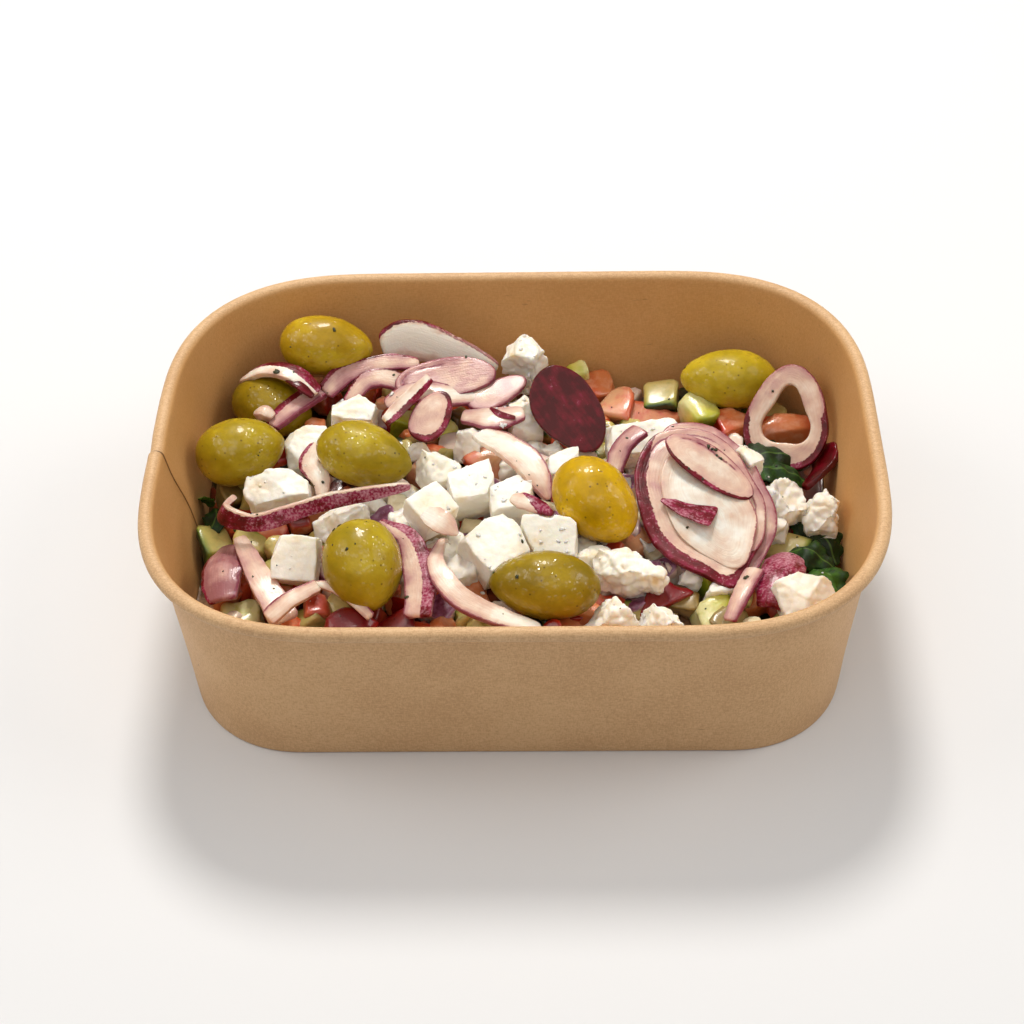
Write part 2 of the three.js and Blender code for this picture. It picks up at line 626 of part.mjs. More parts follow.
function buildSalad() {
  const salad = new THREE.Group();
  const room = roomInside();
  const cutters = [];
  salad.add(meshOf('bowl', bowlSolid(), MATERIALS.kraft));
  for (const { spec, look, make } of TOPPINGS) {
    let piece = make(0).intersect(room);
    if (cutters.length) piece = piece.subtract(manifold.Manifold.union(cutters));
    salad.add(meshOf(spec.name, largestBody(piece), look, middleOf(spec)));
    cutters.push(make(GAP));
  }
  const rough = TOPPINGS.map(({ make }) => make(GAP, COARSE));
  salad.add(meshOf('salad_heap', heapSolid(room, rough), MATERIALS.vegetables));
  return salad;
}

export default buildSalad();
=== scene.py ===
# %% [markdown]
# # A Greek salad in a kraft paper bowl
# This lesson dresses a plain solid model as real food. The solids give the place and the
# main form of every piece: one bowl, eight olives, twenty-three lumps of feta, twenty-five
# slices and strips of red onion, and one heap that stands for all the chopped vegetables.
# Each cell takes one kind of piece, says what it is on the real salad, and builds it.
# Everything is measured in millimetres and turned to metres by MM at the last moment.

import math
import random

import bmesh
import bpy
from mathutils import Matrix, Quaternion, Vector, noise
from mathutils.bvhtree import BVHTree


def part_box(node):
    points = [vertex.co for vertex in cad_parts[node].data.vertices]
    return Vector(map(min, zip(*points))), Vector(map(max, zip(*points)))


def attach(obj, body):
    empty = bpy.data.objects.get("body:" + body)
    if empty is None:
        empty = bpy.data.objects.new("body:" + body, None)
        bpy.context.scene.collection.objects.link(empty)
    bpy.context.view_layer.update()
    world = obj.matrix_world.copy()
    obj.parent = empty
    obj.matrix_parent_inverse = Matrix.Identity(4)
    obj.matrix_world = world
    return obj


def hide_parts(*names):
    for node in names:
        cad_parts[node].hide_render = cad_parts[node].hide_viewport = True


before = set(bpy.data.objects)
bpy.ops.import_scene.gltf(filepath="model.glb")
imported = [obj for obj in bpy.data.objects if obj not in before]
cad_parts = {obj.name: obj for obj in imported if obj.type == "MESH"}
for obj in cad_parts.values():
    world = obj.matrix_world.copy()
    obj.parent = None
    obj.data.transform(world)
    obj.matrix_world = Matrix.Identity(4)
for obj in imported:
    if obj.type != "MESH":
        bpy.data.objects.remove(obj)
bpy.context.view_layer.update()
print("solids:", len(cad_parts))

# %% [markdown]
# ## Small helpers
# A few lines are needed again and again: places in millimetres, a blend between two
# numbers, and smooth noise that is the same on every run.

# %% Places and numbers
MM = 0.001
# How far the noise moves on for each next seed, along x, y and z.
SEED_STEP = (17.3, 5.1, 9.7)


def place(x, y, z):
    """A place given in millimetres, as a vector in metres."""
    return Vector((x, y, z)) * MM


def lerp(low, high, share):
    return low + (high - low) * share


def smooth(low, high, value):
    """0 below low, 1 above high, and an even curve between them."""
    share = min(max((value - low) / (high - low), 0), 1)
    return share * share * (3 - 2 * share)


def wobble(spot, size, seed=0):
    """Smooth noise from -1 to 1, whose bumps are about size millimetres wide."""
    return noise.noise(spot / (size * MM) + Vector([seed * step for step in SEED_STEP]))


def layered_wobble(spot, layers, seed):
    """Noise in layers of (height, size in mm), each drawn with the next seed."""
    return sum(height * wobble(spot, size, seed + i) for i, (height, size) in enumerate(layers))


# %% [markdown]
# ## From points to a piece
# Most pieces are a skin over a row of rings: a bowl, a slice and a strip of onion all
# are. The first ring is drawn, and each next one is an extrusion of the last. A layer
# remembers which column a point belongs to, and extruding copies it, so every new
# point knows its place. Numbers that a material needs later, such as how deep a point
# lies under the onion's skin, are stored on the points in the same step.

# %% Sweeps and finished objects
MERGED_WITHIN = 0.01


def sweep(rings, marks=(), closed_tube=False):
    """A closed skin over rings. Each point is (place, value of each mark)."""
    bm = bmesh.new()
    column = bm.verts.layers.int.new("column")
    layers = [bm.verts.layers.float.new(mark) for mark in marks]

    def settle(vert, ring):
        spot, *values = ring[vert[column]]
        vert.co = spot
        for layer, value in zip(layers, values):
            vert[layer] = value

    first = [bm.verts.new() for _ in rings[0]]
    for i, vert in enumerate(first):
        vert[column] = i
        settle(vert, rings[0])
    edges = [bm.edges.new(pair) for pair in zip(first, first[1:] + first[:1])]
    start_edges = edges
    if not closed_tube:
        bm.faces.new(first)
    for ring in rings[1:]:
        grown = bmesh.ops.extrude_edge_only(bm, edges=edges)["geom"]
        new_verts = {item for item in grown if isinstance(item, bmesh.types.BMVert)}
        for vert in new_verts:
            settle(vert, ring)
        edges = [
            item for item in grown
            if isinstance(item, bmesh.types.BMEdge) and set(item.verts) <= new_verts
        ]
    if closed_tube:
        bmesh.ops.bridge_loops(bm, edges=edges + start_edges)
    else:
        bmesh.ops.edgeloop_fill(bm, edges=edges)
    bmesh.ops.recalc_face_normals(bm, faces=bm.faces)
    return bm


def finish_piece(bm, name, material, node=None, levels=0):
    """Turns a bmesh into a piece that rides with the salad, in place of its solid."""
    mesh = bpy.data.meshes.new(name)
    bm.to_mesh(mesh)
    bm.free()
    mesh.shade_smooth()
    piece = bpy.data.objects.new(name, mesh)
    bpy.context.scene.collection.objects.link(piece)
    mesh.materials.append(material)
    if levels:
        rounding = piece.modifiers.new("Rounding", "SUBSURF")
        rounding.levels = rounding.render_levels = levels
    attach(piece, "root")
    if node:
        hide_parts(node)
    return piece


def bmesh_of(node):
    """The solid of a node as a bmesh with its loose triangles merged."""
    bm = bmesh.new()
    bm.from_mesh(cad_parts[node].data)
    bmesh.ops.remove_doubles(bm, verts=bm.verts, dist=MERGED_WITHIN * MM)
    return bm


# %% [markdown]
# ## Materials in general
# A material is a small tree of nodes. One function adds any node: it sets the node's
# own settings, fills its sockets with values or links, and sets the stops of a colour
# ramp. Colours are written as sRGB hex values and turned to linear light by one function.

# %% Colours and nodes
def colour(hex_value):
    """An sRGB hex colour as linear red, green, blue and alpha."""
    parts = [int(hex_value[i:i + 2], 16) / 255 for i in (0, 2, 4)]
    linear = [part / 12.92 if part <= 0.04045 else ((part + 0.055) / 1.055) ** 2.4 for part in parts]
    return linear + [1]


def add(tree, kind, sockets=None, stops=None, **settings):
    """Adds one shader node. A socket takes a number, a colour or another node's output."""
    node = tree.nodes.new("ShaderNode" + kind)
    for name, value in settings.items():
        setattr(node, name, value)
    for name, value in (sockets or {}).items():
        if isinstance(value, bpy.types.NodeSocket):
            tree.links.new(value, node.inputs[name])
        else:
            node.inputs[name].default_value = value
    for i, (position, hex_value) in enumerate(stops or []):
        if i >= len(node.color_ramp.elements):
            node.color_ramp.elements.new(position)
        node.color_ramp.elements[i].position = position
        node.color_ramp.elements[i].color = colour(hex_value)
    return node


def scale_of(size):
    """The scale that makes a pattern's features about size millimetres wide."""
    return 1 / (size * MM)


def new_material(name):
    material = bpy.data.materials.new(name)
    material.use_nodes = True
    material.node_tree.nodes.clear()
    return material, material.node_tree


def finish_material(material, surface):
    """Puts a Principled surface with these sockets on the material."""
    tree = material.node_tree
    shader = add(tree, "BsdfPrincipled", surface)
    add(tree, "OutputMaterial", {"Surface": shader.outputs["BSDF"]})
    return material


# The sockets of a Mix node that blends colours.
MIX_A, MIX_B, MIX_RESULT = 6, 7, 2


# %% [markdown]
# ## Camera, floor and light
# The salad is looked down on at about 45 degrees, with a hint of turn and roll, as by
# someone who leans over a table. A soft light hangs above and a little behind: wet food needs one
# clear light to gloss on. A wide one fills in from above the front, two weaker ones
# stand at the sides so that the bowl's ends aren't dull, and a pale sky lifts the shadows.

# %% Camera
CAMERA = {
    "target": (-1.1, 0, 25), "distance": 479.6, "elevation": 44.69, "yaw": 1.81, "roll": -1.70, "lens": 69.1,
}


def aim_camera():
    elevation, yaw = math.radians(CAMERA["elevation"]), math.radians(CAMERA["yaw"])
    back = Vector((
        math.sin(yaw) * math.cos(elevation),
        -math.cos(yaw) * math.cos(elevation),
        math.sin(elevation),
    ))
    data = bpy.data.cameras.new("camera")
    data.lens = CAMERA["lens"]
    data.clip_start, data.clip_end = 0.01, 20
    camera = bpy.data.objects.new("camera", data)
    bpy.context.scene.collection.objects.link(camera)
    camera.rotation_mode = "QUATERNION"
    turned = (-back).to_track_quat("-Z", "Y")
    camera.rotation_quaternion = turned @ Quaternion((0, 0, 1), math.radians(CAMERA["roll"]))
    camera.location = place(*CAMERA["target"]) + back * CAMERA["distance"] * MM
    bpy.context.scene.camera = camera


aim_camera()
print("camera:", CAMERA["distance"], "mm away")

# %% Floor
FLOOR = {"width": 6000, "tone": "e2e3e5"}


def lay_floor():
    bm = bmesh.new()
    bmesh.ops.create_grid(bm, x_segments=1, y_segments=1, size=FLOOR["width"] / 2 * MM)
    mesh = bpy.data.meshes.new("floor")
    bm.to_mesh(mesh)
    bm.free()
    floor = bpy.data.objects.new("floor", mesh)
    bpy.context.scene.collection.objects.link(floor)
    material, _ = new_material("pale_floor")
    mesh.materials.append(finish_material(material, {
        "Base Color": colour(FLOOR["tone"]), "Roughness": 0.9, "Specular IOR Level": 0.1,
    }))


lay_floor()

# %% Lights
# Each light: its place, how wide it is, its power in watts and its colour.
LIGHTS = {
    "key": {"at": (-60, 560, 880), "width": 260, "power": 7.6, "tint": "fffaf3"},
    "fill": {"at": (-100, -480, 1060), "width": 1400, "power": 4.7, "tint": "fffbf6"},
    "left": {"at": (-720, 60, 640), "width": 600, "power": 2.0, "tint": "fffaf3"},
    "right": {"at": (720, 60, 640), "width": 600, "power": 2.4, "tint": "fffaf3"},
}
LIT_PLACE = (0, 0, 25)
SKY = {"tint": "ffffff", "strength": 0.2}


def hang_lights():
    middle = place(*LIT_PLACE)
    for name, light in LIGHTS.items():
        data = bpy.data.lights.new(name, "AREA")
        data.shape = "DISK"
        data.size = light["width"] * MM
        data.energy = light["power"]
        data.color = colour(light["tint"])[:3]
        lamp = bpy.data.objects.new(name, data)
        lamp.location = place(*light["at"])
        lamp.rotation_mode = "QUATERNION"
        lamp.rotation_quaternion = (middle - lamp.location).to_track_quat("-Z", "Y")
        bpy.context.scene.collection.objects.link(lamp)
    sky = bpy.data.worlds.new("sky")
    sky.use_nodes = True
    background = sky.node_tree.nodes["Background"]
    background.inputs["Color"].default_value = colour(SKY["tint"])
    background.inputs["Strength"].default_value = SKY["strength"]
    bpy.context.scene.world = sky
    bpy.context.scene.view_settings.view_transform = "Standard"


hang_lights()
print("lights:", ", ".join(LIGHTS))


# %% [markdown]
# ## The kraft board
# The bowl is kraft paperboard: unbleached pulp pressed to a sheet 0.6 mm thick, with a
# thin clear film inside. Pulp fibres a few tenths of a millimetre wide and a few
# millimetres long give it a fine fleck, and the sheet is a little cloudy on a scale of
# a centimetre. It is matt outside and has a faint sheen inside and on the rolled rim.
# Fibres lie both along the sheet and up it, so the same noise is stretched both ways.
# The inside is painted a warmer, deeper brown, which stands for the light that bounces
# between its walls.

# %% Kraft board
# The warm colour for the inside is painted bounce light, not a colour of the board.
KRAFT = {
    "pale": "d9b488", "middle": "cfa87c", "dark": "c29a70", "painted_bounce": "e2a454", "fleck": "94693c",
    "seam_shadow": "3a2008", "bounce_share": 0.72, "fibre": 0.3, "cloud": 16, "fleck_size": 0.8, "bump": 0.05,
}
# How much the noise is drawn out for fibres that lie along the sheet and up it.
FIBRE_LIES = {"along": (0.25, 1, 1), "up": (1, 1, 0.3)}


def kraft_board():
    material, tree = new_material("kraft_board")
    spot = add(tree, "TexCoord").outputs["Object"]
    along = add(tree, "Mapping", {"Vector": spot, "Scale": FIBRE_LIES["along"]})
    upright = add(tree, "Mapping", {"Vector": spot, "Scale": FIBRE_LIES["up"]})
    fibres = [
        add(tree, "TexNoise", {"Vector": way.outputs[0], "Scale": scale_of(KRAFT["fibre"]), "Detail": 3})
        for way in (along, upright)
    ]
    both = add(tree, "Math", {0: fibres[0].outputs["Fac"], 1: fibres[1].outputs["Fac"]}, operation="ADD")
    clouds = add(tree, "TexNoise", {"Vector": spot, "Scale": scale_of(KRAFT["cloud"]), "Detail": 2})
    mixed = add(tree, "Math", {
        0: clouds.outputs["Fac"], 1: 0.5, 2: both.outputs[0],
    }, operation="MULTIPLY_ADD")
    shade = add(tree, "Math", {0: mixed.outputs[0], 1: 0.75}, operation="SUBTRACT")
    tone = add(tree, "ValToRGB", {"Fac": shade.outputs[0]}, stops=[
        (0.3, KRAFT["dark"]), (0.5, KRAFT["middle"]), (0.7, KRAFT["pale"]),
    ])
    # The inside is mixed towards a warmer colour that paints the light bounced between the walls.
    inside = add(tree, "Attribute", attribute_name="inside").outputs["Fac"]
    bounce_share = add(tree, "Math", {0: inside, 1: KRAFT["bounce_share"]}, operation="MULTIPLY")
    bounce_painted = add(tree, "Mix", {
        0: bounce_share.outputs[0], MIX_A: tone.outputs[0], MIX_B: colour(KRAFT["painted_bounce"]),
    }, data_type="RGBA")
    specks = add(tree, "TexNoise", {
        "Vector": along.outputs[0], "Scale": scale_of(KRAFT["fleck_size"]), "Detail": 2,
    })
    speck_share = add(tree, "MapRange", {
        "Value": specks.outputs["Fac"], "From Min": 0.7, "From Max": 0.8, "To Max": 0.45,
    })
    flecked = add(tree, "Mix", {
        0: speck_share.outputs[0], MIX_A: bounce_painted.outputs[MIX_RESULT], MIX_B: colour(KRAFT["fleck"]),
    }, data_type="RGBA")
    # The lap's edge gets a dark line that paints the shadow in its step.
    seam_shadow = add(tree, "Attribute", attribute_name="seam_shadow").outputs["Fac"]
    lined = add(tree, "Mix", {
        0: seam_shadow, MIX_A: flecked.outputs[MIX_RESULT], MIX_B: colour(KRAFT["seam_shadow"]),
    }, data_type="RGBA")
    relief = add(tree, "Bump", {
        "Height": both.outputs[0], "Strength": 0.35, "Distance": KRAFT["bump"] * MM,
    })
    return finish_material(material, {
        "Base Color": lined.outputs[MIX_RESULT], "Roughness": 0.55, "Normal": relief.outputs[0],
        "Specular IOR Level": 0.35,
    })


# %% [markdown]
# ## The bowl
# A blank of board is bent round, glued where its ends lap, and its upper edge is rolled
# outwards to a bead. The rows of the skin go from the middle of the underside, up the
# outside, round the bead and down the inside. The outline at any height is a rectangle
# with superelliptic corners that grows from the foot to the mouth. Two things make it
# paper rather than plastic: the bead's lower edge is crushed unevenly, and at the left
# end the lap makes a small step with a dark line, so some columns of points follow it.
# The dark line is painted: it stands for the shadow in the step.

# %% The bowl's outline
BOWL = {
    "wall": 0.6, "floor": 0.8, "foot_round": 0.8, "floor_round": 1,
    "foot": {"half_length": 77.5, "half_width": 54.5, "corner": 27, "power": 2.07},
    "mouth": {"half_length": 83.1, "half_width": 60.1, "corner": 46, "power": 2.53},
    "mouth_height": 47.1, "rim_radius": 1.75, "rim_out": 1.15,
    "corner_steps": 14, "side_steps": 36, "end_steps": 12, "rim_steps": 16, "wall_steps": 10,
    "round_steps": 3, "underside_insets": (25, 8, 2), "floor_insets": (8, 25),
}
LAP = {
    "step": 0.35, "fade": 9, "beside": (0.5, 0.12, 0, -0.12, -0.5),
    "rim_y": -4.6, "low_y": 0.4, "low_z": 24,
}


def outline_corner(quarter, step, z, offset):
    """A point on one of the four rounded corners, from 0 to corner_steps."""
    share = min(max(z / BOWL["mouth_height"], 0), 1)
    mixed = {key: lerp(BOWL["foot"][key], BOWL["mouth"][key], share) for key in BOWL["foot"]}
    corner = max(mixed["corner"] + offset, 1)
    steps = step if quarter % 2 == 0 else BOWL["corner_steps"] - step
    angle = steps / BOWL["corner_steps"] * math.pi / 2
    bend = 2 / mixed["power"]
    x = mixed["half_length"] + offset - corner + corner * max(math.cos(angle), 0) ** bend
    y = mixed["half_width"] + offset - corner + corner * max(math.sin(angle), 0) ** bend
    sign_x, sign_y = ((1, 1), (-1, 1), (-1, -1), (1, -1))[quarter]
    return Vector((sign_x * x, sign_y * y, z))


def between(start, end, steps):
    """Evenly spaced points from start to end, without either."""
    return [start.lerp(end, i / steps) for i in range(1, steps)]


def lap_y(z):
    """Where the lap's edge lies on the left end at a height."""
    return lerp(LAP["rim_y"], LAP["low_y"], smooth(BOWL["mouth_height"], LAP["low_z"], z))


def left_end(start, end):
    """Points along the left end, five of which follow the edge of the lap."""
    edge = [Vector((start.x, lap_y(start.z) + aside, start.z)) for aside in LAP["beside"]]
    return between(start, edge[0], BOWL["end_steps"]) + edge + between(edge[-1], end, BOWL["end_steps"])


def outline(z, offset):
    """The bowl's outline at a height, in millimetres, and which point is the lap's edge."""
    points, edge = [], None
    for quarter in range(4):
        points += [outline_corner(quarter, step, z, offset) for step in range(BOWL["corner_steps"] + 1)]
        start, end = points[-1], outline_corner((quarter + 1) % 4, 0, z, offset)
        if quarter == 1:
            edge = len(points) + BOWL["end_steps"] - 1 + LAP["beside"].index(0)
            points += left_end(start, end)
        else:
            points += between(start, end, BOWL["side_steps"] if quarter % 2 == 0 else BOWL["end_steps"])
    return points, edge


def quarter_turn(steps):
    """Pairs of 1 - cos and 1 - sin over a quarter turn."""
    angles = [i / steps * math.pi / 2 for i in range(steps + 1)]
    return [(1 - math.cos(angle), 1 - math.sin(angle)) for angle in angles]


def bowl_rows():
    """Height and outward offset of each row of the skin, and whether it is on the bead."""
    foot, inner = BOWL["foot_round"], BOWL["floor_round"]
    rows = [(0, -inset, False) for inset in BOWL["underside_insets"]]
    rows += [(foot * rise, -foot * inset, False) for rise, inset in quarter_turn(BOWL["round_steps"])]
    steps = BOWL["wall_steps"]
    heights = [lerp(foot, BOWL["mouth_height"], i / steps) for i in range(1, steps)]
    rows += [(z, 0, False) for z in heights]
    under = -math.acos(-BOWL["rim_out"] / BOWL["rim_radius"])
    for step in range(BOWL["rim_steps"] + 1):
        angle = lerp(under, math.pi, step / BOWL["rim_steps"])
        rise, reach = math.sin(angle) * BOWL["rim_radius"], math.cos(angle) * BOWL["rim_radius"]
        rows.append((BOWL["mouth_height"] + BOWL["rim_radius"] + rise, BOWL["rim_out"] + reach, True))
    rows += [(z, -BOWL["wall"], False) for z in reversed(heights)]
    for rise, inset in quarter_turn(BOWL["round_steps"]):
        rows.append((BOWL["floor"] + inner * inset, -BOWL["wall"] - inner * rise, False))
    return rows + [(BOWL["floor"], -inset, False) for inset in BOWL["floor_insets"]]


# %% The bowl's skin
# The bead is crushed fully below "full" and not at all above "none", from its middle up.
CRUSH = {"coarse": 0.5, "coarse_size": 9, "fine": 0.35, "fine_size": 3.5, "none": 0.6, "full": -1.2}
# The wall wanders by up to twice its depth, and less below "full", near the stiff foot.
WARP = {"depth": 0.25, "size": 30, "none": 3, "full": 12}
LAP_EDGE = 0.1


def crush_at(point):
    """How far the bead's lower edge is pressed in."""
    spot = place(*point)
    above = point.z - BOWL["mouth_height"] - BOWL["rim_radius"]
    low = smooth(CRUSH["none"], CRUSH["full"], above)
    coarse = CRUSH["coarse"] * abs(wobble(spot, CRUSH["coarse_size"], 1))
    return low * (coarse + CRUSH["fine"] * abs(wobble(spot, CRUSH["fine_size"], 2)))


def warp_at(point):
    """How far the wall wanders inwards, as no paper wall is quite flat."""
    inwards = 1 - wobble(place(*point), WARP["size"], 3)
    return WARP["depth"] * inwards * smooth(WARP["none"], WARP["full"], point.z)


def lap_at(point):
    """How far the lap stands in from the wall."""
    past = point.y - lap_y(point.z)
    if point.x > 0 or past > 2 * LAP["fade"]:
        return 0
    return LAP["step"] * smooth(-LAP_EDGE, LAP_EDGE, past) * (1 - smooth(0, LAP["fade"], past))


def bowl_ring(z, offset, on_bead):
    """One row of the skin, with marks for the lap's painted shadow line and for the inside, whose colour
    paints bounced light.
    """
    points, edge = outline(z, offset)
    # How much of the painted bounce light a point gets: all on the inside, none outside.
    painted_bounce = smooth(1, -0.5, offset + BOWL["wall"])
    ring = []
    for i, point in enumerate(points):
        outward = Vector((point.x, point.y, 0)).normalized()
        inset = crush_at(point) if on_bead else warp_at(point)
        if z > BOWL["floor"] + BOWL["floor_round"]:
            inset += lap_at(point)
        # Points on the lap's edge carry the painted shadow line.
        on_seam = 1 if i == edge and z > LAP["step"] else 0
        ring.append((place(*(point - outward * inset)), on_seam, painted_bounce))
    return ring


def build_bowl():
    bm = sweep([bowl_ring(*row) for row in bowl_rows()], marks=["seam_shadow", "inside"])
    return finish_piece(bm, "paper_bowl", kraft_board(), "bowl", levels=1)


bowl = build_bowl()
print("bowl:", [round(side / MM, 1) for side in bowl.dimensions])


# %% [markdown]
# ## Olive skin
# Big green table olives, cured in brine and shining with oil. The skin is olive green
# to golden, never one tone: it is greener where the fruit was shaded, yellow where it
# lay against the oil, and freckled with tiny dark lenticels half a millimetre wide.
# The oil lies on it as an uneven film that is a little dull, with shallow clear beads one
# to two millimetres wide. Each bead mirrors the light, so the sheen breaks into sparks.

# %% Olive skin
# Dark, middle and pale colour of each tone of skin. The "deep" tone is darker to paint the shade on the
# olives at the front and under the onion.
OLIVE_TONES = {
    "deep": ("786404", "92780a", "ac921c"),
    "green": ("8e7a0a", "a88e10", "c0aa28"),
    "pale": ("a08a14", "bca21c", "d4bc38"),
    "amber": ("9a7a08", "b28e10", "caae26"),
    "golden": ("ac8600", "cca200", "e4be0e"),
}
LENTICEL = "4a3408"
# Sizes in mm. A share is that of the spacing, from a freckle's or a drop's middle to its edge.
OLIVE = {
    "mottle": 12, "freckle": 2.3, "freckle_share": 0.15, "dimple": 1.6, "pore": 0.5, "film": 1.5,
    "film_gloss": 0.2, "drop": 1.8, "drop_share": 0.45, "drop_height": 0.18, "dimple_depth": 0.12,
    "light_reach": 1.5,
}


def olive_skin(tone):
    material, tree = new_material("olive_skin_" + tone)
    dark, middle, pale = OLIVE_TONES[tone]
    spot = add(tree, "TexCoord").outputs["Object"]
    mottle = add(tree, "TexNoise", {
        "Vector": spot, "Scale": scale_of(OLIVE["mottle"]), "Detail": 5, "Roughness": 0.6,
    })
    skin = add(tree, "ValToRGB", {"Fac": mottle.outputs["Fac"]}, stops=[
        (0.32, dark), (0.5, middle), (0.68, pale),
    ])
    cells = add(tree, "TexVoronoi", {"Vector": spot, "Scale": scale_of(OLIVE["freckle"])})
    dots = add(tree, "MapRange", {
        "Value": cells.outputs["Distance"], "From Min": OLIVE["freckle_share"], "From Max": 0.05,
        "To Max": 0.75,
    })
    freckled = add(tree, "Mix", {
        0: dots.outputs[0], MIX_A: skin.outputs[0], MIX_B: colour(LENTICEL),
    }, data_type="RGBA")
    dimples = add(tree, "TexNoise", {"Vector": spot, "Scale": scale_of(OLIVE["dimple"]), "Detail": 1})
    pores = add(tree, "TexNoise", {"Vector": spot, "Scale": scale_of(OLIVE["pore"]), "Detail": 1})
    relief = add(tree, "Math", {
        0: pores.outputs["Fac"], 1: 0.35, 2: dimples.outputs["Fac"],
    }, operation="MULTIPLY_ADD")
    bump = add(tree, "Bump", {
        "Height": relief.outputs[0], "Strength": 0.5, "Distance": OLIVE["dimple_depth"] * MM,
    })

    film = add(tree, "TexNoise", {"Vector": spot, "Scale": scale_of(OLIVE["film"]), "Detail": 3})
    beads = add(tree, "TexVoronoi", {"Vector": spot, "Scale": scale_of(OLIVE["drop"])})
    from_middle = add(tree, "MapRange", {
        "Value": beads.outputs["Distance"], "From Max": OLIVE["drop_share"],
    })
    hollow = add(tree, "Math", {0: from_middle.outputs[0], 1: 2}, operation="POWER")
    dome = add(tree, "Math", {0: 1, 1: hollow.outputs[0]}, operation="SUBTRACT")
    wetter = add(tree, "MapRange", {"Value": mottle.outputs["Fac"], "From Min": 0.42, "From Max": 0.54})
    bead = add(tree, "Math", {0: dome.outputs[0], 1: wetter.outputs[0]}, operation="MULTIPLY")
    oil = add(tree, "Math", {0: film.outputs["Fac"], 1: 0.3, 2: bead.outputs[0]}, operation="MULTIPLY_ADD")
    droplets = add(tree, "Bump", {
        "Height": oil.outputs[0], "Strength": 1.0, "Distance": OLIVE["drop_height"] * MM,
    })
    gloss = add(tree, "MapRange", {
        "Value": bead.outputs[0], "From Max": 0.1, "To Min": OLIVE["film_gloss"], "To Max": 1,
    })
    return finish_material(material, {
        "Base Color": freckled.outputs[MIX_RESULT], "Roughness": 0.38, "Normal": bump.outputs[0],
        "Specular IOR Level": 0.2,
        "Subsurface Weight": 0.15, "Subsurface Radius": (1, 0.8, 0.2),
        "Subsurface Scale": OLIVE["light_reach"] * MM,
        "Coat Weight": gloss.outputs[0], "Coat IOR": 1.55, "Coat Roughness": 0.02,
        "Coat Normal": droplets.outputs[0],
    })


# %% [markdown]
# ## The olives
# An olive is a ball drawn out along one line, a little pointed at the tip and flattened
# where the stalk was. Each solid already says where that line runs: its two furthest
# points are the stalk's end and the tip, and the tip is at the slimmer half. So the ball
# is shaped between those two points, and noise gives each fruit its own dents.

# %% Olives
# How pointed each olive is at its tip and at its stalk end, and its tone. The two olives in the deep tone are
# darker as painted shade.
OLIVES = {
    "olive_back_left": (0.35, 0.1, "amber"),
    "olive_under_onion": (0.2, 0.15, "deep"),
    "olive_left": (0.45, 0.05, "green"),
    "olive_mid_left": (0.5, 0.35, "green"),
    "olive_front_left": (0.4, 0.05, "green"),
    "olive_front": (0.45, 0.2, "deep"),
    "olive_yellow": (0.1, 0.15, "golden"),
    "olive_back_right": (0.25, 0.35, "pale"),
}
# Lengths are shares of the olive's own, apart from dents, (height, size) in mm, and "sunk" in mm.
FRUIT = {
    "around": 96, "along": 72, "taper": 0.1, "sharpen": 0.45, "blunt": 0.02,
    "dents": ((0.4, 11), (0.12, 4), (0.04, 1.5)), "sunk": 0.25,
}


def long_axis(node):
    """The stalk end, the tip and the half girth of an olive's solid, in metres."""
    points = [vert.co.copy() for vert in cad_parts[node].data.vertices]
    pairs = [(one, max(points, key=lambda point: (point - one).length)) for one in points]
    start, end = max(pairs, key=lambda pair: (pair[0] - pair[1]).length)
    middle, along = (start + end) / 2, (end - start).normalized()
    reach = {True: 0, False: 0}
    for point in points:
        way = (point - middle).dot(along)
        reach[way > 0] = max(reach[way > 0], (point - middle - along * way).length)
    if reach[True] > reach[False]:
        start, end = end, start
    return start, end, (reach[True] + reach[False]) / 2


def olive_spot(unit, half, radius, tip_point, stalk_point, seed):
    """Moves a point of a unit ball to its place on an olive that stands along z."""
    point = tip_point if unit.z > 0 else stalk_point
    around = math.sqrt(max(1 - unit.z ** 2, 0))
    slim = around ** (1 + FRUIT["sharpen"] * point) if around > 0 else 0
    girth = radius * slim * (1 - FRUIT["taper"] * unit.z) / max(around, 1e-6)
    height = half * unit.z * (1 - FRUIT["blunt"] * (1 - point) * abs(unit.z) ** 8)
    spot = Vector((unit.x * girth, unit.y * girth, height))
    dent = layered_wobble(spot, FRUIT["dents"], seed)
    return spot + unit * (dent - FRUIT["sunk"]) * MM * around


def build_olive(node, skins, seed):
    tip_point, stalk_point, tone = OLIVES[node]
    stalk, tip, radius = long_axis(node)
    half = (tip - stalk).length / 2
    bm = bmesh.new()
    bmesh.ops.create_uvsphere(bm, u_segments=FRUIT["around"], v_segments=FRUIT["along"], radius=1)
    for vert in bm.verts:
        vert.co = olive_spot(vert.co, half, radius, tip_point, stalk_point, seed)
    turn = Vector((0, 0, 1)).rotation_difference(tip - stalk).to_matrix().to_4x4()
    bmesh.ops.transform(bm, matrix=Matrix.Translation((stalk + tip) / 2) @ turn, verts=bm.verts)
    return finish_piece(bm, node + "_fruit", skins[tone], node)


def build_olives():
    skins = {tone: olive_skin(tone) for tone in OLIVE_TONES}
    return [build_olive(node, skins, 10 * i) for i, node in enumerate(OLIVES)]


olives = build_olives()
print("olives:", len(olives))


# %% [markdown]
# ## Feta
# Feta is a brined curd: damp, bright and slightly warm white. Light goes a millimetre or
# two into it, so its shadows are creamy. A knife leaves a fairly smooth face with small
# pits. Where it broke, it shows rounded grains of curd one to three millimetres wide.

# %% Feta paste
FETA = {
    "white": "fbf5e9", "cream": "f4e8d2", "whey": "e4cfa0", "cloud": 6, "curd": 1.6, "grain": 0.5,
    "pit_depth": 0.3, "light_reach": 2,
}


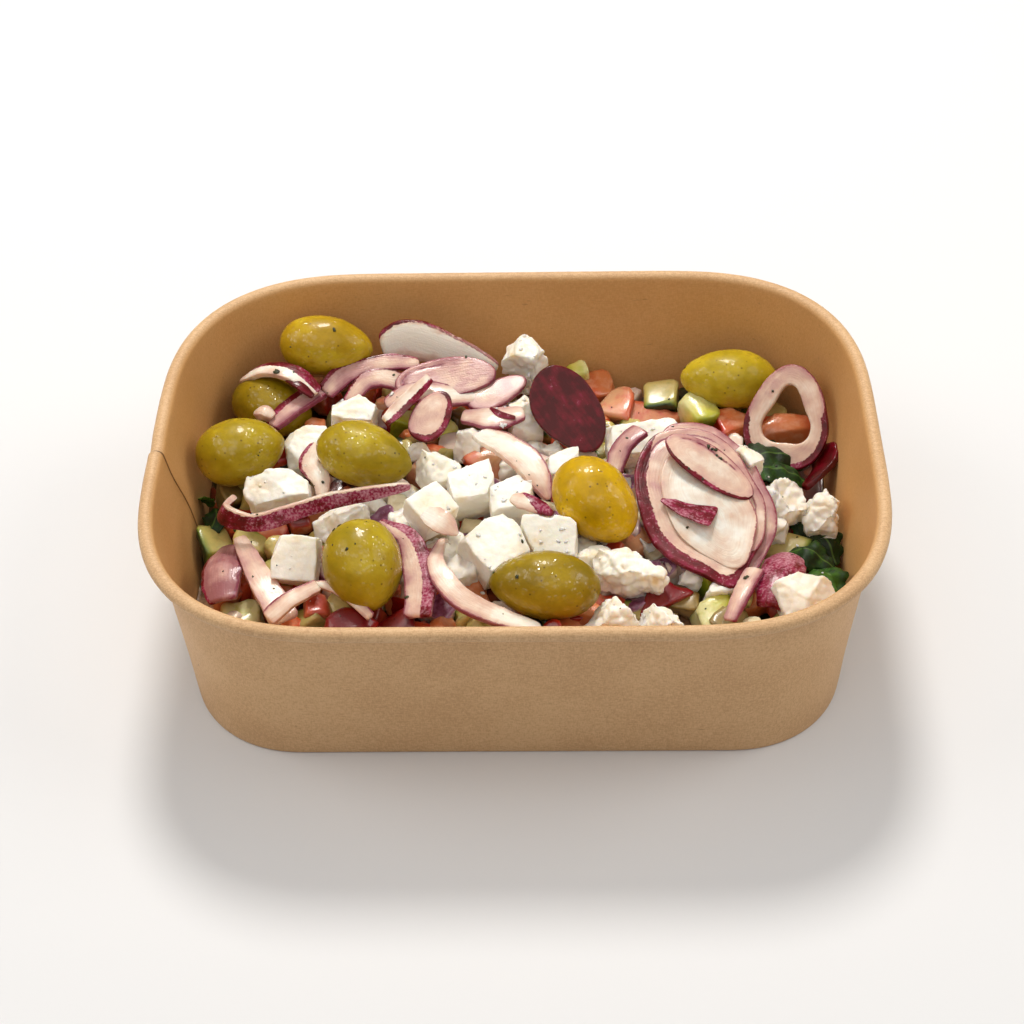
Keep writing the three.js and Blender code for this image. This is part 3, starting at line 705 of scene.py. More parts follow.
def feta_paste():
    material, tree = new_material("feta_paste")
    spot = add(tree, "TexCoord").outputs["Object"]
    clouds = add(tree, "TexNoise", {"Vector": spot, "Scale": scale_of(FETA["cloud"]), "Detail": 4})
    tone = add(tree, "ValToRGB", {"Fac": clouds.outputs["Fac"]}, stops=[
        (0.26, FETA["whey"]), (0.34, FETA["cream"]), (0.5, FETA["white"]),
    ])
    curds = add(tree, "TexNoise", {"Vector": spot, "Scale": scale_of(FETA["curd"]), "Detail": 3})
    grains = add(tree, "TexNoise", {"Vector": spot, "Scale": scale_of(FETA["grain"]), "Detail": 3})
    relief = add(tree, "Math", {
        0: grains.outputs["Fac"], 1: 0.4, 2: curds.outputs["Fac"],
    }, operation="MULTIPLY_ADD")
    bump = add(tree, "Bump", {
        "Height": relief.outputs[0], "Strength": 0.35, "Distance": FETA["pit_depth"] * MM,
    })
    return finish_material(material, {
        "Base Color": tone.outputs[0], "Roughness": 0.45, "Normal": bump.outputs[0],
        "Subsurface Weight": 0.6, "Subsurface Radius": (1, 0.85, 0.6),
        "Subsurface Scale": FETA["light_reach"] * MM,
    })


# %% [markdown]
# ## Breaking the feta
# Each lump starts from a copy of its solid. Feta doesn't cut clean: corners break away
# along small flat faces, so a few planes slice bits off, the more the crumblier the
# lump. A voxel remesh then gives it an even, fine skin, and every point moves along its
# normal: shallow pits on a cut lump, and domes with creases between them, from the
# distances to the nearest grains, on a crumbly one.

# %% Lumps of feta
# How crumbly each lump is: 0 is cleanly cut, and above 1 is a heap of curd grains.
USUALLY_CRUMBLY = 0.5
CRUMBLY = {
    "feta_03": 0.6, "feta_04": 0.05, "feta_05": 0.8, "feta_06": 0.7, "feta_07": 0.3, "feta_08": 0.05,
    "feta_09": 0.2, "feta_10": 0.35, "feta_11": 0.1, "feta_12": 1.15, "feta_13": 1.1, "feta_14": 1.1,
    "feta_15": 1.1, "feta_20": 1.1, "feta_21": 1.1, "feta_23": 0.55,
}
BREAK = {
    "voxel": 0.4, "clean_breaks": 2, "crumbly_breaks": 7, "depth": (0.06, 0.24), "clean_share": 0.6,
}
# Layers of relief are (height, size) in mm, and so are the grain's width and what bends it.
CURD = {
    "pits": ((0.1, 2.2), (0.08, 0.9)), "lumps": ((1.0, 5.5), (0.35, 1.5)), "swell": (0.25, 6),
    "grain": 3.6, "bend": 1.2, "bend_size": 3, "dome": 1.1, "dome_flat": 0.5, "crease": 0.45, "sunk": 0.15,
    "bend_seeds": (7, 8, 9), "power": 1.5,
}
FETA_NODES = sorted(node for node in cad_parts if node.startswith("feta_"))


def break_corners(bm, crumbly, seed):
    """Slices bits off along random planes, each a share of the lump's own reach deep."""
    chance = random.Random(seed)
    for _ in range(BREAK["clean_breaks"] + round(BREAK["crumbly_breaks"] * crumbly)):
        way = Vector([chance.uniform(-1, 1) for _ in range(3)])
        way.z = abs(way.z)
        way.normalize()
        far = max(vert.co.dot(way) for vert in bm.verts)
        near = min(vert.co.dot(way) for vert in bm.verts)
        share = chance.uniform(*BREAK["depth"]) * lerp(BREAK["clean_share"], 1, crumbly)
        depth = lerp(far, near, share)
        whole = bm.verts[:] + bm.edges[:] + bm.faces[:]
        cut = bmesh.ops.bisect_plane(
            bm, geom=whole, plane_co=way * depth, plane_no=way, clear_outer=True,
        )
        rim = [item for item in cut["geom_cut"] if isinstance(item, bmesh.types.BMEdge)]
        bmesh.ops.edgeloop_fill(bm, edges=rim)


def remeshed(bm, voxel):
    """The same closed shape with an even, fine skin of four-sided faces."""
    mesh = bpy.data.meshes.new("rough")
    bm.to_mesh(mesh)
    bm.free()
    rough = bpy.data.objects.new("rough", mesh)
    bpy.context.scene.collection.objects.link(rough)
    remesh = rough.modifiers.new("Remesh", "REMESH")
    remesh.mode = "VOXEL"
    remesh.voxel_size = voxel * MM
    remesh.use_smooth_shade = True
    seen = rough.evaluated_get(bpy.context.evaluated_depsgraph_get())
    fine = bmesh.new()
    fine.from_mesh(seen.data)
    bpy.data.objects.remove(rough)
    return fine


def curd_relief(spot, crumbly, seed):
    """How far the broken surface stands out at a place, in millimetres."""
    pits = layered_wobble(spot, CURD["pits"], seed)
    bend = Vector([wobble(spot, CURD["bend_size"], bend_seed) for bend_seed in CURD["bend_seeds"]])
    bent = spot + bend * CURD["bend"] * MM
    near, second = noise.voronoi(bent / (CURD["grain"] * MM) + Vector((seed, seed, seed)))[0][:2]
    domes = CURD["dome"] * min(second - near, CURD["dome_flat"]) - CURD["crease"]
    lumps = layered_wobble(spot, CURD["lumps"], seed + 2)
    swell = layered_wobble(spot, [CURD["swell"]], seed + 4)
    return pits + crumbly ** CURD["power"] * (domes + lumps) + swell - CURD["sunk"]


def roughen(bm, crumbly, seed):
    """Moves every point along its normal by the curd's relief."""
    bm.normal_update()
    moves = [vert.normal * curd_relief(vert.co, crumbly, seed) * MM for vert in bm.verts]
    for vert, move in zip(bm.verts, moves):
        vert.co += move


def build_feta(paste):
    pieces = []
    for i, node in enumerate(FETA_NODES):
        crumbly = CRUMBLY.get(node, USUALLY_CRUMBLY)
        bm = bmesh_of(node)
        break_corners(bm, crumbly, i)
        bm = remeshed(bm, BREAK["voxel"])
        roughen(bm, crumbly, i)
        pieces.append(finish_piece(bm, node + "_lump", paste, node))
    return pieces


paste = feta_paste()
feta = build_feta(paste)
print("feta:", len(feta), "lumps,", sum(len(piece.data.polygons) for piece in feta), "faces")


# %% [markdown]
# ## Red onion
# A red onion is layers of wet, translucent flesh. Each layer has a thin membrane on its
# outer side, which is burgundy on the outermost layers and a fine purple line on the
# others. Cut across, a layer shows as a pale band with a dark edge. So every point of an
# onion piece carries marks, such as how far it lies inside the coloured skin and how far
# it is from a membrane, both in millimetres. The material draws crisp, slightly ragged
# edges from these, however few points the mesh has. Where the skin was scuffed, it is
# frosted.

# %% Onion flesh and skin
ONION = {
    "white": "f6ecdf", "cream": "e9d5c4", "peach": "d9b9a6", "pink": "c29690", "shaded_rose": "9e686c",
    "burgundy": "4a0206", "crimson": "6c081a", "purple": "901e44", "frost": "d2a0ac", "line": "7a183c",
    "cloud": 6, "patch": 3.5, "fibre": 0.5, "ragged": 0.8, "frost_size": 0.6, "line_width": 0.28,
    "cell": 0.45, "streaks_per_mm": 0.7, "skin_torn": 1.1, "line_torn": 0.7, "blush": 1.6, "relief": 0.16,
    "light_reach": 2.2,
}
FIBRE_DRAWN_OUT = (0.12, 1, 1)
# How far inside the skin and how far from a membrane in mm, how deep the flesh's tint and
# the skin's frost are, and the place along and across the grain in mm. A deep tint is partly
# the flesh's own pink and partly painted shade, where a thin piece lies over a dark gap.
ONION_MARKS = ("skin", "line", "tint", "frost", "along", "across")


def ragged_share(tree, distance, roughness, reach):
    """From a distance in mm to 0 outside and 1 inside, along an edge made ragged by noise."""
    off = add(tree, "Math", {0: roughness, 1: 0.5}, operation="SUBTRACT")
    shifted = add(tree, "Math", {0: off.outputs[0], 1: reach, 2: distance}, operation="MULTIPLY_ADD")
    share = add(tree, "MapRange", {"Value": shifted.outputs[0], "From Min": -0.1, "From Max": 0.1})
    return share.outputs[0]


def onion_material():
    material, tree = new_material("red_onion")
    mark = {name: add(tree, "Attribute", attribute_name=name).outputs["Fac"] for name in ONION_MARKS}
    spot = add(tree, "TexCoord").outputs["Object"]
    grain_place = add(tree, "CombineXYZ", {"X": mark["along"], "Y": mark["across"]})
    stretched = add(tree, "Mapping", {"Vector": grain_place.outputs[0], "Scale": FIBRE_DRAWN_OUT})
    fibres = add(tree, "TexNoise", {
        "Vector": stretched.outputs[0], "Scale": 1 / ONION["fibre"], "Detail": 2,
    })

    clouds = add(tree, "TexNoise", {"Vector": spot, "Scale": scale_of(ONION["cloud"]), "Detail": 3})
    blend = add(tree, "Math", {
        0: clouds.outputs["Fac"], 1: 0.8, 2: mark["tint"],
    }, operation="MULTIPLY_ADD")
    streaked = add(tree, "Math", {
        0: fibres.outputs["Fac"], 1: 0.15, 2: blend.outputs[0],
    }, operation="MULTIPLY_ADD")
    by_line = add(tree, "MapRange", {
        "Value": mark["line"], "From Max": ONION["blush"], "To Min": 0.16, "To Max": 0,
    })
    deeper = add(tree, "Math", {0: streaked.outputs[0], 1: by_line.outputs[0]}, operation="ADD")
    # The far end of this ramp is partly the flesh's own pink and partly painted shade for pieces over dark
    # gaps.
    flesh = add(tree, "ValToRGB", {"Fac": deeper.outputs[0]}, stops=[
        (0.34, ONION["white"]), (0.46, ONION["cream"]), (0.6, ONION["peach"]), (0.76, ONION["pink"]),
        (0.94, ONION["shaded_rose"]),
    ])

    torn = add(tree, "TexNoise", {"Vector": spot, "Scale": scale_of(ONION["ragged"]), "Detail": 3})
    ragged = torn.outputs["Fac"]
    skin_share = ragged_share(tree, mark["skin"], ragged, ONION["skin_torn"])
    near_line = add(tree, "Math", {0: ONION["line_width"], 1: mark["line"]}, operation="SUBTRACT")
    line_share = ragged_share(tree, near_line.outputs[0], ragged, ONION["line_torn"])
    line_faint = add(tree, "Math", {0: line_share, 1: 0.75}, operation="MULTIPLY")

    streaks = add(tree, "TexNoise", {
        "Vector": stretched.outputs[0], "Scale": ONION["streaks_per_mm"], "Detail": 4,
    })
    patches = add(tree, "TexNoise", {"Vector": spot, "Scale": scale_of(ONION["patch"]), "Detail": 4})
    uneven = add(tree, "Math", {
        0: streaks.outputs["Fac"], 1: 0.6, 2: patches.outputs["Fac"],
    }, operation="MULTIPLY_ADD")
    worn = add(tree, "Math", {0: mark["frost"], 1: 0.3, 2: uneven.outputs[0]}, operation="MULTIPLY_ADD")
    skin = add(tree, "ValToRGB", {"Fac": worn.outputs[0]}, stops=[
        (0.6, ONION["burgundy"]), (0.82, ONION["crimson"]), (1.0, ONION["purple"]),
    ])
    speckle = add(tree, "TexNoise", {"Vector": spot, "Scale": scale_of(ONION["frost_size"]), "Detail": 3})
    cloudy = add(tree, "Math", {
        0: patches.outputs["Fac"], 1: 0.7, 2: speckle.outputs["Fac"],
    }, operation="MULTIPLY_ADD")
    scuffed = add(tree, "Math", {
        0: mark["frost"], 1: 0.35, 2: cloudy.outputs[0],
    }, operation="MULTIPLY_ADD")
    frost_share = add(tree, "MapRange", {
        "Value": scuffed.outputs[0], "From Min": 0.95, "From Max": 1.3, "To Max": 0.8,
    })
    frosted = add(tree, "Mix", {
        0: frost_share.outputs[0], MIX_A: skin.outputs[0], MIX_B: colour(ONION["frost"]),
    }, data_type="RGBA")

    lined = add(tree, "Mix", {
        0: line_faint.outputs[0], MIX_A: flesh.outputs[0], MIX_B: colour(ONION["line"]),
    }, data_type="RGBA")
    whole = add(tree, "Mix", {
        0: skin_share, MIX_A: lined.outputs[MIX_RESULT], MIX_B: frosted.outputs[MIX_RESULT],
    }, data_type="RGBA")
    cells = add(tree, "TexNoise", {"Vector": spot, "Scale": scale_of(ONION["cell"]), "Detail": 2})
    relief = add(tree, "Math", {
        0: cells.outputs["Fac"], 1: 0.6, 2: fibres.outputs["Fac"],
    }, operation="MULTIPLY_ADD")
    bump = add(tree, "Bump", {
        "Height": relief.outputs[0], "Strength": 0.6, "Distance": ONION["relief"] * MM,
    })
    see_into = add(tree, "MapRange", {"Value": skin_share, "To Min": 0.6, "To Max": 0.1})
    return finish_material(material, {
        "Base Color": whole.outputs[MIX_RESULT], "Roughness": 0.3, "Normal": bump.outputs[0],
        "Subsurface Weight": see_into.outputs[0], "Subsurface Radius": (1, 0.75, 0.6),
        "Subsurface Scale": ONION["light_reach"] * MM,
        "Specular IOR Level": 0.25, "Coat Weight": 0.2, "Coat Roughness": 0.1,
    })


# %% [markdown]
# ## Strips and petals of onion
# A strip is a slice through one layer, so it is a band that follows a curve. A knife
# leaves its faces flat and its edges crisp, so its cross-section is a bar with barely
# rounded corners. The line through its points is a Catmull-Rom curve, which passes
# through every point without overshooting, and "width" gives its widths at equal steps
# from start to end. "skin" gives the part of the width that is burgundy at the start and
# at the end, from -1, the right edge, to 1, the left edge, seen along the way. "frost" and
# "tint" are given at both ends too; a deep tint is partly painted shade. "lines" tells
# where across it membranes show, and "groove" where it is hollow and how deep. "lean"
# tips it, in degrees, "bulge" domes its middle, in millimetres, and "lower" tints its
# right half darker, as painted shade.

# %% Strips of onion
BARE = ((2, 2), (2, 2))
ALL_SKIN = ((-2, 2), (-2, 2))
STRIPS = {
    "onion_long_strip": {
        "path": [(-67, -5, 36), (-69, -11, 36.5), (-63, -14, 36), (-44, -7, 36), (-25, -2, 36)],
        "width": (1, 4, 5, 4.8, 4.4, 4, 3.6, 2), "thick": 1.5, "lean": 62, "bulge": 0.2,
        "skin": ((-2, 0.78), (-2, 0.8)), "frost": (-0.3, 0.8), "tint": (0.05, 0),
    },
    "onion_stick": {
        "path": [(-32, 17, 39.5), (-27, 25, 39.5), (-22, 35, 38)],
        "width": (2.6, 3.8, 3.6, 3.4, 2.4), "thick": 1.6, "lean": 35, "bulge": 0,
        "skin": ((-2, -0.15), (-2, -0.1)), "frost": (0.1, 0), "tint": (-0.05, 0.05),
    },
    "onion_wedge_on_olive": {
        "path": [(-71, 40, 33), (-65, 39, 37.5), (-57, 37, 38.5), (-50, 33, 35.5)],
        "width": (0.6, 3, 4.6, 5.2, 5, 3), "thick": 1.4, "lean": 0, "bulge": 0.3,
        "skin": ((0.95, 2), (-0.5, 2)), "frost": (0, 0.2), "tint": (0, 0.05), "lines": (0.97,),
    },
    "onion_pink_petal": {
        "path": [(-21, -17, 42), (-17, -20.5, 42.5), (-13, -23, 40.5)],
        "width": (3.4, 5.4, 5.8, 4.6, 0.8), "thick": 0.6, "lean": 15, "bulge": 0.3,
        "skin": BARE, "frost": (0, 0), "tint": (-0.05, 0.15),
    },
    "onion_purple_petal": {
        "path": [(-1, -10.5, 40), (4, -13, 40.5), (9, -15.5, 39.5)],
        "width": (2, 4.4, 4.2, 3.4, 1), "thick": 0.8, "lean": 10, "bulge": 0.5,
        "skin": ((1.6, 2), (-2, 2)), "frost": (0.2, 0.1), "tint": (0, 0.1),
    },
    "onion_purple_crescent": {
        "path": [(-32, -12, 34), (-25, -19, 35), (-21.5, -32, 34.5), (-22, -41.5, 32.5)],
        "width": (1.2, 5, 7.4, 7.8, 7), "thick": 1.6, "lean": 12, "bulge": 0.3,
        "skin": ((-0.1, 2), (0.3, 2)), "frost": (0.7, 0.45), "tint": (0.15, 0.2), "lines": (-0.97,),
    },
    "onion_white_crescent": {
        "path": [(-17, -19, 35), (-18, -30, 37), (-13, -38, 36), (-4, -42, 33.5), (6, -45, 32)],
        "width": (1.5, 4, 5.4, 5.4, 4.8, 3.4), "thick": 1.4, "lean": 8, "bulge": 0.25,
        "skin": BARE, "frost": (0, 0), "tint": (0.15, -0.05), "lines": (-0.98,),
    },
    "onion_white_petal": {
        "path": [(-9.5, 17, 36), (-3, 10.5, 38), (4, 3, 37.5), (8, -5, 34)],
        "width": (5, 8.5, 9.5, 8.6, 6.6, 2), "thick": 1.3, "lean": -15, "bulge": -0.9,
        "skin": BARE, "frost": (0, 0), "tint": (-0.15, 0.15), "lines": (0.97,), "groove": (0.2, 0.9),
    },
    # Its deeper tint is painted shade from the dark gap below it.
    "onion_diagonal": {
        "path": [(-50, 37, 33), (-56, 31, 33), (-62, 25, 31.5)],
        "width": (5.6, 6, 6, 5), "thick": 1.5, "lean": 0, "bulge": 0.2,
        "skin": ((-2, -0.35), (-2, -0.3)), "frost": (0, 0.1), "tint": (0.35, 0.25), "lines": (0.95,),
    },
    # Its deeper tint is painted shade from the dark gap below it.
    "onion_back_outer": {
        "path": [(-49, 35, 33.5), (-44, 39, 36), (-35, 42, 37), (-25, 43, 36)],
        "width": (5, 6, 5.6, 5, 3), "thick": 1.5, "lean": 20, "bulge": 0.2,
        "skin": ((0.55, 2), (0.75, 2)), "frost": (0, 0.2), "tint": (0.35, 0.2), "lines": (-0.95,),
    },
    "onion_back_inner": {
        "path": [(-43, 31, 33), (-38, 37, 35.5), (-32, 38, 35.2), (-27, 37, 33)],
        "width": (3, 5, 5, 4.6), "thick": 1.4, "lean": 20, "bulge": 0.2,
        "skin": ((0.8, 2), (0.9, 2)), "frost": (0, 0.2), "tint": (0.3, 0.2), "lines": (-0.95,),
    },
    # Its light tint paints light on a face that stands in shade, and its lower tint paints shade on its lower
    # side.
    "onion_leaning": {
        "path": [(-35, 48, 37), (-27, 50, 38.5), (-17, 48, 36.5), (-5, 44.5, 33)],
        "width": (7, 10.5, 11, 9, 6, 3), "thick": 1.6, "lean": 62, "bulge": 0.8,
        "skin": ((0.84, 2), (1.1, 2)), "frost": (0, 0.2), "tint": (-0.1, -0.2), "lower": 0.2,
        "lines": (0.96,),
    },
    "onion_thick_strip": {
        "path": [(-66, -13, 30), (-59, -28, 31), (-52, -40, 30)],
        "width": (3, 5, 5.6, 6.4, 7.4), "thick": 1.6, "lean": 0, "bulge": 0.2,
        "skin": BARE, "frost": (0, 0), "tint": (0.2, 0.1),
    },
    # Its deeper tint is painted shade from the dark gap below it.
    "onion_left_petal": {
        "path": [(-68, -13, 27), (-69, -23, 28.5), (-68, -32, 28)],
        "width": (4, 9, 10, 9, 7), "thick": 1.1, "lean": 12, "bulge": 1.2,
        "skin": ((-2, -0.88), (-2, -0.82)), "frost": (0, 0.2), "tint": (0.45, 0.5), "lines": (0.9,),
    },
    # Its deeper tint is painted shade from the dark gap below it.
    "onion_arch": {
        "path": [(-56, -42, 33), (-51, -38, 35), (-45, -33, 34.5)],
        "width": (3.8, 4, 3.8, 3), "thick": 1.6, "lean": 20, "bulge": 0.2,
        "skin": BARE, "frost": (0, 0), "tint": (0.15, 0.1), "lines": (0.92,),
    },
    # Its deeper tint is painted shade from the dark gap below it.
    "onion_lilac_arc": {
        "path": [(24, 8, 30), (26, 14, 33), (31, 19, 34.5)],
        "width": (4, 5.8, 6, 5), "thick": 1.2, "lean": -10, "bulge": 0.6,
        "skin": BARE, "frost": (0, 0), "tint": (0.3, 0.35), "lines": (-0.95, 0.95),
    },
    "onion_dark_petal": {
        "path": [(78, 23, 25), (76.5, 17, 23), (71, 12, 20)],
        "width": (6, 9, 9, 7), "thick": 1.4, "lean": 50, "bulge": 0.8,
        "skin": ALL_SKIN, "frost": (-0.5, -0.5), "tint": (0, 0),
    },
    "onion_dark_chunk": {
        "path": [(65, -17, 26), (61.5, -26, 28.5), (58.5, -35, 28)],
        "width": (6, 9.4, 10, 9, 6), "thick": 1.6, "lean": 4, "bulge": 1.6,
        "skin": ALL_SKIN, "frost": (0.7, 0.2), "tint": (0, 0),
    },
}
# Smaller scraps of onion that lie on and between the others.
SCRAPS = {
    "petal_by_olive": {
        "path": [(-49.6, 16.7, 33), (-50.7, 9, 33), (-47.5, 4, 32.5), (-47, 0, 31)],
        "width": (2.5, 5, 5.4, 4.5, 3), "thick": 1, "lean": 10, "bulge": 0.5,
        "skin": ((-2, -0.2), (-3.4, -1.6)), "frost": (0.3, 0.1), "tint": (0.1, 0.05),
    },
    "scrap_on_slice": {
        "path": [(34.5, -6.9, 35.6), (40.5, -9.7, 35), (47, -12.2, 34.7)],
        "width": (1, 4, 6.2, 7.4, 7.6), "thick": 0.5, "lean": -8, "bulge": 0.1,
        "skin": ALL_SKIN, "frost": (0.5, 0.3), "tint": (0, 0),
    },
    "petal_on_pepper": {
        "path": [(-46.7, -30.8, 32.5), (-42, -32.4, 33.4), (-37, -35.6, 32.6), (-32.5, -40, 31)],
        "width": (1.2, 2.6, 2.8, 2.8, 2.4), "thick": 1.1, "lean": 20, "bulge": 0.3,
        "skin": BARE, "frost": (0, 0), "tint": (0, 0.15), "lines": (0.95,),
    },
    "sliver_under_oval": {
        "path": [(-6.7, 28.5, 33.6), (-4, 25.4, 34.2), (-0.3, 24.4, 34)],
        "width": (0.6, 1.4, 1.5, 0.8), "thick": 0.7, "lean": 30, "bulge": 0,
        "skin": ALL_SKIN, "frost": (0, 0), "tint": (0, 0),
    },
    "layer_behind_oval": {
        "path": [(-14, 27, 32), (-6, 25.5, 33), (2, 27, 33)],
        "width": (4, 7, 7, 4), "thick": 1, "lean": 5, "bulge": 0.4,
        "skin": BARE, "frost": (0, 0), "tint": (0.15, 0.2), "lines": (-0.97,),
    },
    "layer_below_moon": {
        "path": [(-33, 30, 33.2), (-26, 33.5, 34.5), (-17, 32.5, 34.3), (-9, 33, 33.4)],
        "width": (4, 7, 7, 6, 4), "thick": 1, "lean": 10, "bulge": 0.5,
        "skin": BARE, "frost": (0, 0), "tint": (0.2, 0.05), "lines": (0.95, -0.97),
    },
    "bit_by_olive": {
        "path": [(-65.6, 28.4, 32), (-63.5, 27.5, 33.6), (-61.4, 26.4, 32.6)],
        "width": (2, 4, 3.6, 2), "thick": 2, "lean": 0, "bulge": 0.6,
        "skin": BARE, "frost": (0, 0), "tint": (0.05, 0.1),
    },
    "dark_sliver_on_wedge": {
        "path": [(-59, 35.6, 38), (-55, 33, 37.8), (-51.2, 30.6, 36)],
        "width": (0.6, 2, 2.4, 1.2), "thick": 0.8, "lean": 0, "bulge": 0.2,
        "skin": ALL_SKIN, "frost": (-0.5, -0.5), "tint": (0, 0),
    },
    "tail_of_slice": {
        "path": [(56, -24.5, 30), (52.5, -32, 30), (49, -39.5, 28.5)],
        "width": (4.6, 5, 4.4, 3), "thick": 0.9, "lean": 12, "bulge": 0.5,
        "skin": BARE, "frost": (0, 0), "tint": (0.2, 0.3), "lines": (0.96,),
    },
}
# "tip" is the share of the length over which each end narrows. Sizes are in mm.
STRIP = {
    "steps": 40, "across": 9, "tip": 0.03, "tip_width": 0.7, "tip_thickness": 0.5, "groove_width": 0.18,
    "sway": 0.22, "sway_size": 8, "nick": 0.09, "nick_size": 1.6, "wave": 0.35, "wave_size": 9,
    "edge_tint": 0.1,
}
BAR = {"side": 0.98, "corner": 0.8}
FAR_FROM_LINES = 9


def path_at(points, share):
    """The place and heading at a share of the way along a smooth line through points."""
    whole = share * (len(points) - 1)
    i = min(int(whole), len(points) - 2)
    start, end = points[i], points[i + 1]
    before = points[i - 1] if i else 2 * points[0] - points[1]
    after = points[i + 2] if i + 2 < len(points) else 2 * points[-1] - points[-2]
    gaps = [(b - a).length ** 0.5 for a, b in ((before, start), (start, end), (end, after))]
    leave = (start - before) / gaps[0] - (end - before) / (gaps[0] + gaps[1]) + (end - start) / gaps[1]
    arrive = (end - start) / gaps[1] - (after - start) / (gaps[1] + gaps[2]) + (after - end) / gaps[2]
    leave, arrive = leave * gaps[1], arrive * gaps[1]
    square = -3 * start + 3 * end - 2 * leave - arrive
    cube = 2 * start - 2 * end + leave + arrive
    t = whole - i
    spot = start + leave * t + square * t ** 2 + cube * t ** 3
    return spot, leave + 2 * square * t + 3 * cube * t ** 2


def value_at(values, share):
    """The value at a share of the way along a row of equally spaced values."""
    whole = min(max(share, 0), 0.99999) * (len(values) - 1)
    i = int(whole)
    return lerp(values[i], values[i + 1], whole - i)


def bar_section():
    """Side and height, each from -1 to 1, of the points round a bar with crisp corners."""
    turns = [math.pi * (0.5 - i / (STRIP["across"] - 1)) for i in range(STRIP["across"])]
    top = [(BAR["side"] * math.sin(turn), 1) for turn in turns]
    under = [(-side, -1) for side, _ in top]
    corner = BAR["corner"]
    return [(1, corner)] + top + [(-1, corner), (-1, -corner)] + under + [(1, -corner)]


def strip_marks(spec, share, side, half_width, reach):
    """The marks of a point of a strip."""
    (start_low, start_high), (end_low, end_high) = spec["skin"]
    low, high = lerp(start_low, end_low, share), lerp(start_high, end_high, share)
    skin = min(side - low, high - side) * half_width
    line = min([abs(side - at) for at in spec.get("lines", ())] + [FAR_FROM_LINES]) * half_width
    # The lower share darkens the right half as painted shade.
    tint = lerp(*spec["tint"], share) + spec.get("lower", 0) * max(-side, 0)
    tint += STRIP["edge_tint"] * (2 * side ** 2 - 1)
    return skin, line, tint, lerp(*spec["frost"], share), share * reach, side * half_width


def strip_rings(spec, seed):
    """The cross-sections of a strip, from its start to its end."""
    points = [Vector(point) for point in spec["path"]]
    reach = sum((b - a).length for a, b in zip(points, points[1:]))
    lean = math.radians(spec["lean"])
    groove_at, groove_depth = spec.get("groove", (0, 0))
    widest = max(spec["width"])
    rings = []
    for step in range(STRIP["steps"] + 1):
        share = step / STRIP["steps"]
        middle, heading = path_at(points, share)
        heading.normalize()
        across = Vector((0, 0, 1)).cross(heading).normalized()
        across.rotate(Quaternion(heading, lean))
        normal = heading.cross(across)
        tip = smooth(0, STRIP["tip"], min(share, 1 - share))
        half_width = value_at(spec["width"], share) / 2 * lerp(STRIP["tip_width"], 1, tip)
        half_thickness = spec["thick"] / 2 * lerp(STRIP["tip_thickness"], 1, tip)
        fullness = half_width * 2 / widest
        wave = STRIP["wave"] * wobble(middle * MM, STRIP["wave_size"], seed + 3) * min(share * 4, 1)
        ring = []
        for side, up in bar_section():
            edge = middle + across * side * half_width
            sway = 1 + STRIP["sway"] * wobble(middle * MM, STRIP["sway_size"], seed + (side > 0))
            sway += STRIP["nick"] * wobble(edge * MM, STRIP["nick_size"], seed + 2)
            off_groove = (side - groove_at) / STRIP["groove_width"]
            groove = groove_depth * math.exp(-off_groove ** 2) * (up > 0)
            rise = (spec["bulge"] * (1 - side ** 2) - groove) * fullness + wave
            spot = middle + across * side * half_width * sway
            spot += normal * (up * half_thickness + rise)
            ring.append((place(*spot), *strip_marks(spec, share, side, half_width, reach)))
        rings.append(ring)
    return rings


def build_strips(material):
    pieces = []
    for i, (name, spec) in enumerate({**STRIPS, **SCRAPS}.items()):
        bm = sweep(strip_rings(spec, i), marks=ONION_MARKS)
        node = name if name in STRIPS else None
        pieces.append(finish_piece(bm, name + "_strip", material, node, levels=1))
    return pieces


onion = onion_material()
strips = build_strips(onion)
print("strips of onion:", len(strips))

# %% [markdown]
# ## Slices of onion
# A slice is a flat oval: its skin runs from the middle of the upper face out to the
# edge, over it, and back underneath. Its layers show as shallow grooves a few
# millimetres from the edge. The burgundy band is widest on one side of the slice, so it
# is given by the way it faces on the table, how far round it reaches and its width. The
# inner layers of the biggest slice have slipped, so they lie on it as slices of their own.

